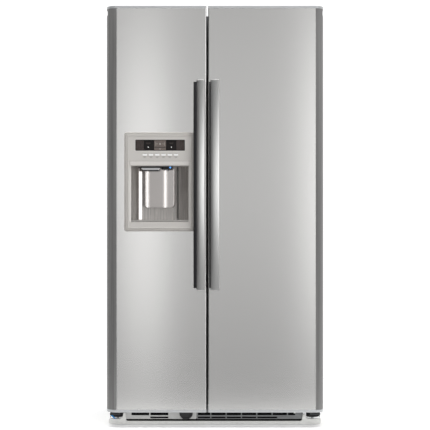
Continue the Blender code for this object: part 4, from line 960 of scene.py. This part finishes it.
def make_freezer_back():
    """A round fan grille with a black disc behind its slots as painted shade, and three return slots on the
    evaporator cover.
    """
    x, (front, _), _ = spans("evaporator_cover")
    cx, cz = middle(x), FAN_GRILLE_Z
    plate = turned([(0.0, 0.0006), (0.058, 0.0006), (0.06, -0.001), (0.059, -0.005), (0.056, -0.0065),
                    (0.0, -0.0065)], (cx, front, cz), "Y", 64)
    cuts = []
    for rise in [n * 0.011 for n in range(-4, 5)]:
        reach = math.sqrt(FAN_GRILLE_REACH ** 2 - rise ** 2)
        cuts.append(prism("Y", (front - 0.012, front + 0.004),
                          rounded(around(cx, reach), around(cz + rise, 0.0034), 0.003, 4)))
    piece("fan_grille", carved(plate, *cuts), "liner_white", sharp=45)
    # Painted shade: the black disc shows through the grille's slots
    disc = turned([(0.0, 0.0), (0.0535, 0.0), (0.0535, -0.002), (0.0, -0.002)], (cx, front, cz), "Y", 48)
    piece("fan_grille_shade", disc, "shade_black")
    slot_y = (front - 0.0012, front + 0.0004)
    for n, level in enumerate(RETURN_SLOTS_Z, 1):
        slot = pillow("Y", slot_y, around(cx, 0.105), around(level, 0.0035), 0.003, 0.0004)
        piece(f"return_slot_{n}", slot, "inner_grey")


def make_ice_maker():
    """The wire arm that rests on the ice."""
    (_, right), (near, far), (low, _) = spans("ice_maker")
    bends = [(-0.002, near + 0.012, 0.05), (0.01, near + 0.012, 0.03), (0.016, near + 0.016, -0.02),
             (0.016, near + 0.05, -0.034), (0.016, far - 0.06, -0.034), (0.012, far - 0.03, 0.01),
             (-0.002, far - 0.028, 0.045)]
    arm = smooth_path([(right + out, y, low + rise) for out, y, rise in bends])
    piece("ice_maker_arm", sweep(arm, 0.0018), "aluminium", sharp=60)


def make_gasket(door):
    """A magnetic seal: a flat foot, a bellows fold and a soft face against the cabinet."""
    x, y, z = spans(f"{door}_gasket")
    profile = ((0.0015, 0.02), (0.0, 0.14), (0.0, 0.24), (0.0036, 0.34), (0.0036, 0.44), (0.0006, 0.54),
               (0.0, 0.7), (0.0006, 0.9), (0.003, 0.99), (0.011, 0.99), (0.0136, 0.9), (0.0142, 0.7),
               (0.0136, 0.54), (0.0104, 0.44), (0.0104, 0.34), (0.0142, 0.24), (0.0142, 0.14),
               (0.0127, 0.02))
    rings = [rim("Y", y[0] + (y[1] - y[0]) * share, x, z, inset, max(0.02 - inset, 0.004))
             for inset, share in profile]
    piece(f"{door}_seal", loft(rings, closed=True), "seal_grey", door, f"{door}_gasket", sharp=50)


def make_inside():
    for node in FREEZER_SHELVES + FRIDGE_SHELVES:
        make_shelf(node)
    make_ledges("freezer_liner", FREEZER_SHELVES)
    make_ledges("fridge_liner", FRIDGE_SHELVES)
    make_lamps()
    make_freezer_back()
    make_ice_maker()
    for tub in TUBS:
        make_tub(*tub)
        make_tub_front(*tub)
    for tub in BINS:
        make_tub(*tub, taper=0.006, radius=0.014, lip=0.004)
    for door in DOORS:
        make_gasket(door)


# Stage, lights and camera ---------------------------------------------------------------------------
FLOOR_SOLID, FLOOR_EDGE = 0.9, 2.3               # radii where the floor starts to fade and where it ends
DOME_FRONT, DOME_BEHIND, BACKDROP = 1.05, 1.04, 1.1
SOFT_BOX_Y = -7.4
CAMERA_AWAY, CAMERA_HIGH, VIEW_WIDE = 6.5, 0.88, 1.776


def ramp_node(tree, value, reach, levels, kind="SMOOTHSTEP"):
    """A value mapped from a reach of its own to a pair of levels."""
    ends = dict(zip(("From Min", "From Max", "To Min", "To Max"), (*reach, *levels)))
    step = add_node(tree, "MapRange", {"Value": value, **ends}, interpolation_type=kind)
    return step.outputs["Result"]


def math_node(tree, operation, *values):
    """The values combined two by two."""
    total = values[0]
    for value in values[1:]:
        total = add_node(tree, "Math", {0: total, 1: value}, operation=operation).outputs["Value"]
    return total


def make_stage():
    """A plain pale floor that fades into the white of the studio."""
    rings = [upright("Z", 0, arc((0, 0), (radius, radius), 0, 360, 64)[:-1])
             for radius in (0.01, 0.5, FLOOR_SOLID, 1.6, FLOOR_EDGE)]
    floor = show("studio_floor", loft(rings, caps=False))
    paper = finish("studio_paper", (0.92, 0.92, 0.92), 0.9, 0.0, 0.005, 3)
    tree = paper.node_tree
    place = add_node(tree, "TexCoord").outputs["Object"]
    away = add_node(tree, "VectorMath", {0: place}, operation="LENGTH").outputs["Value"]
    along = add_node(tree, "SeparateXYZ", {"Vector": place}).outputs["Y"]
    near = ramp_node(tree, away, (FLOOR_SOLID, FLOOR_EDGE), (1.0, 0.0))
    ahead = ramp_node(tree, along, (-1.1, -0.45), (0.0, 1.0))
    plug(tree, tree.nodes["Principled BSDF"], {"Alpha": math_node(tree, "MULTIPLY", near, ahead),
                                               "Emission Color": (1, 1, 1, 1), "Emission Strength": 0.3})
    floor.data.materials.append(paper)


def make_world():
    """A studio dome: white behind the object, and dimmer in front, above all to the left and high up."""
    world = SCENE.world = bpy.data.worlds.new("studio")
    world.use_nodes = True
    tree = world.node_tree
    axes = add_node(tree, "SeparateXYZ", {"Vector": add_node(tree, "TexCoord").outputs["Generated"]})
    x, y, z = (axes.outputs[axis] for axis in "XYZ")
    left = ramp_node(tree, x, (-0.46, -0.09), (0.12, 1.0))
    low = ramp_node(tree, z, (-0.12, 0.005), (0.28, 1.0))
    high = ramp_node(tree, z, (0.02, 0.19), (1.0, 0.45))
    higher = ramp_node(tree, z, (0.2, 0.42), (1.0, 0.15))
    steep = ramp_node(tree, z, (-0.5, -0.25), (0.5, 0.0))
    share = math_node(tree, "MULTIPLY", left, low, high, higher)
    front = ramp_node(tree, share, (0.0, 1.0), (0.0, DOME_FRONT), "LINEAR")
    behind = ramp_node(tree, y, (-0.1, 0.55), (0.0, DOME_BEHIND))
    seen = add_node(tree, "LightPath").outputs["Is Camera Ray"]
    backdrop = ramp_node(tree, seen, (0.0, 1.0), (0.0, BACKDROP), "LINEAR")
    strength = math_node(tree, "MAXIMUM", front, steep, behind, backdrop)
    plug(tree, tree.nodes["Background"], {"Color": (1, 1, 1, 1), "Strength": strength})


def area_light(name, place, target, size, power):
    """A rectangular light that isn't itself in the picture."""
    lamp = bpy.data.lights.new(name, "AREA")
    lamp.shape = "RECTANGLE"
    lamp.size, lamp.size_y = size
    lamp.energy = power
    thing = show(name, lamp)
    thing.location = place
    thing.rotation_euler = (Vector(target) - Vector(place)).to_track_quat("-Z", "Y").to_euler()
    thing.visible_camera = False
    return thing


def soft_box(name, x, z, radiance):
    """An upright light far in front of the doors, given by its edges and how bright it looks."""
    size = (x[1] - x[0], z[1] - z[0])
    power = math.pi * size[0] * size[1] * radiance
    area_light(name, (middle(x), SOFT_BOX_Y, middle(z)), (middle(x), 0, middle(z)), size, power)


def make_lights():
    make_world()
    soft_box("left_strip", (-0.8, -0.42), (-0.3, 2.3), 0.78)
    soft_box("right_strip", (0.76, 1.9), (-0.1, 2.5), 0.74)
    soft_box("bright_strip", (1.4, 2.0), (0.2, 2.2), 4.2)
    area_light("right_softbox", (4.4, -6.0, 1.5), (0, -0.3, 1.0), (3.4, 3.4), 76)
    area_light("top_softbox", (0.0, -1.2, 4.6), (0, -0.5, 0), (5.0, 4.4), 250)


def make_room_lights():
    """Weak lights in the compartments, near their lamps, so that the open refrigerator is lit inside."""
    for name, liner, z, power in (("fridge_light", "fridge_liner", 1.6, 0.6),
                                  ("freezer_light", "freezer_liner", 1.18, 0.55),
                                  ("ice_room_light", "freezer_liner", 1.63, 0.15)):
        x, y, _ = spans(liner)
        target = (middle(x), middle(y), z - 0.6)
        lamp = area_light(name, (middle(x), y[0] + 0.1, z), target, (0.2, 0.06), power)
        lamp.visible_glossy = False


def make_camera():
    camera = bpy.data.cameras.new("camera")
    camera.sensor_width = 36.0
    camera.lens = camera.sensor_width * CAMERA_AWAY / VIEW_WIDE
    camera.clip_end = 60
    thing = show("camera", camera)
    thing.location = (0, FACE_Y - CAMERA_AWAY, CAMERA_HIGH)
    thing.rotation_euler = (math.pi / 2, 0, 0)
    SCENE.camera = thing
    SCENE.view_settings.view_transform = "Standard"


make_camera()
make_lights()
make_room_lights()
make_stage()
dress_frame()
make_handle("freezer_door", (-0.0885, -0.064), 0.006)
make_handle("fridge_door", (-0.0243, 0.0), 0.0015)
make_dispenser()
make_base()
make_top()
make_back()
make_inside()
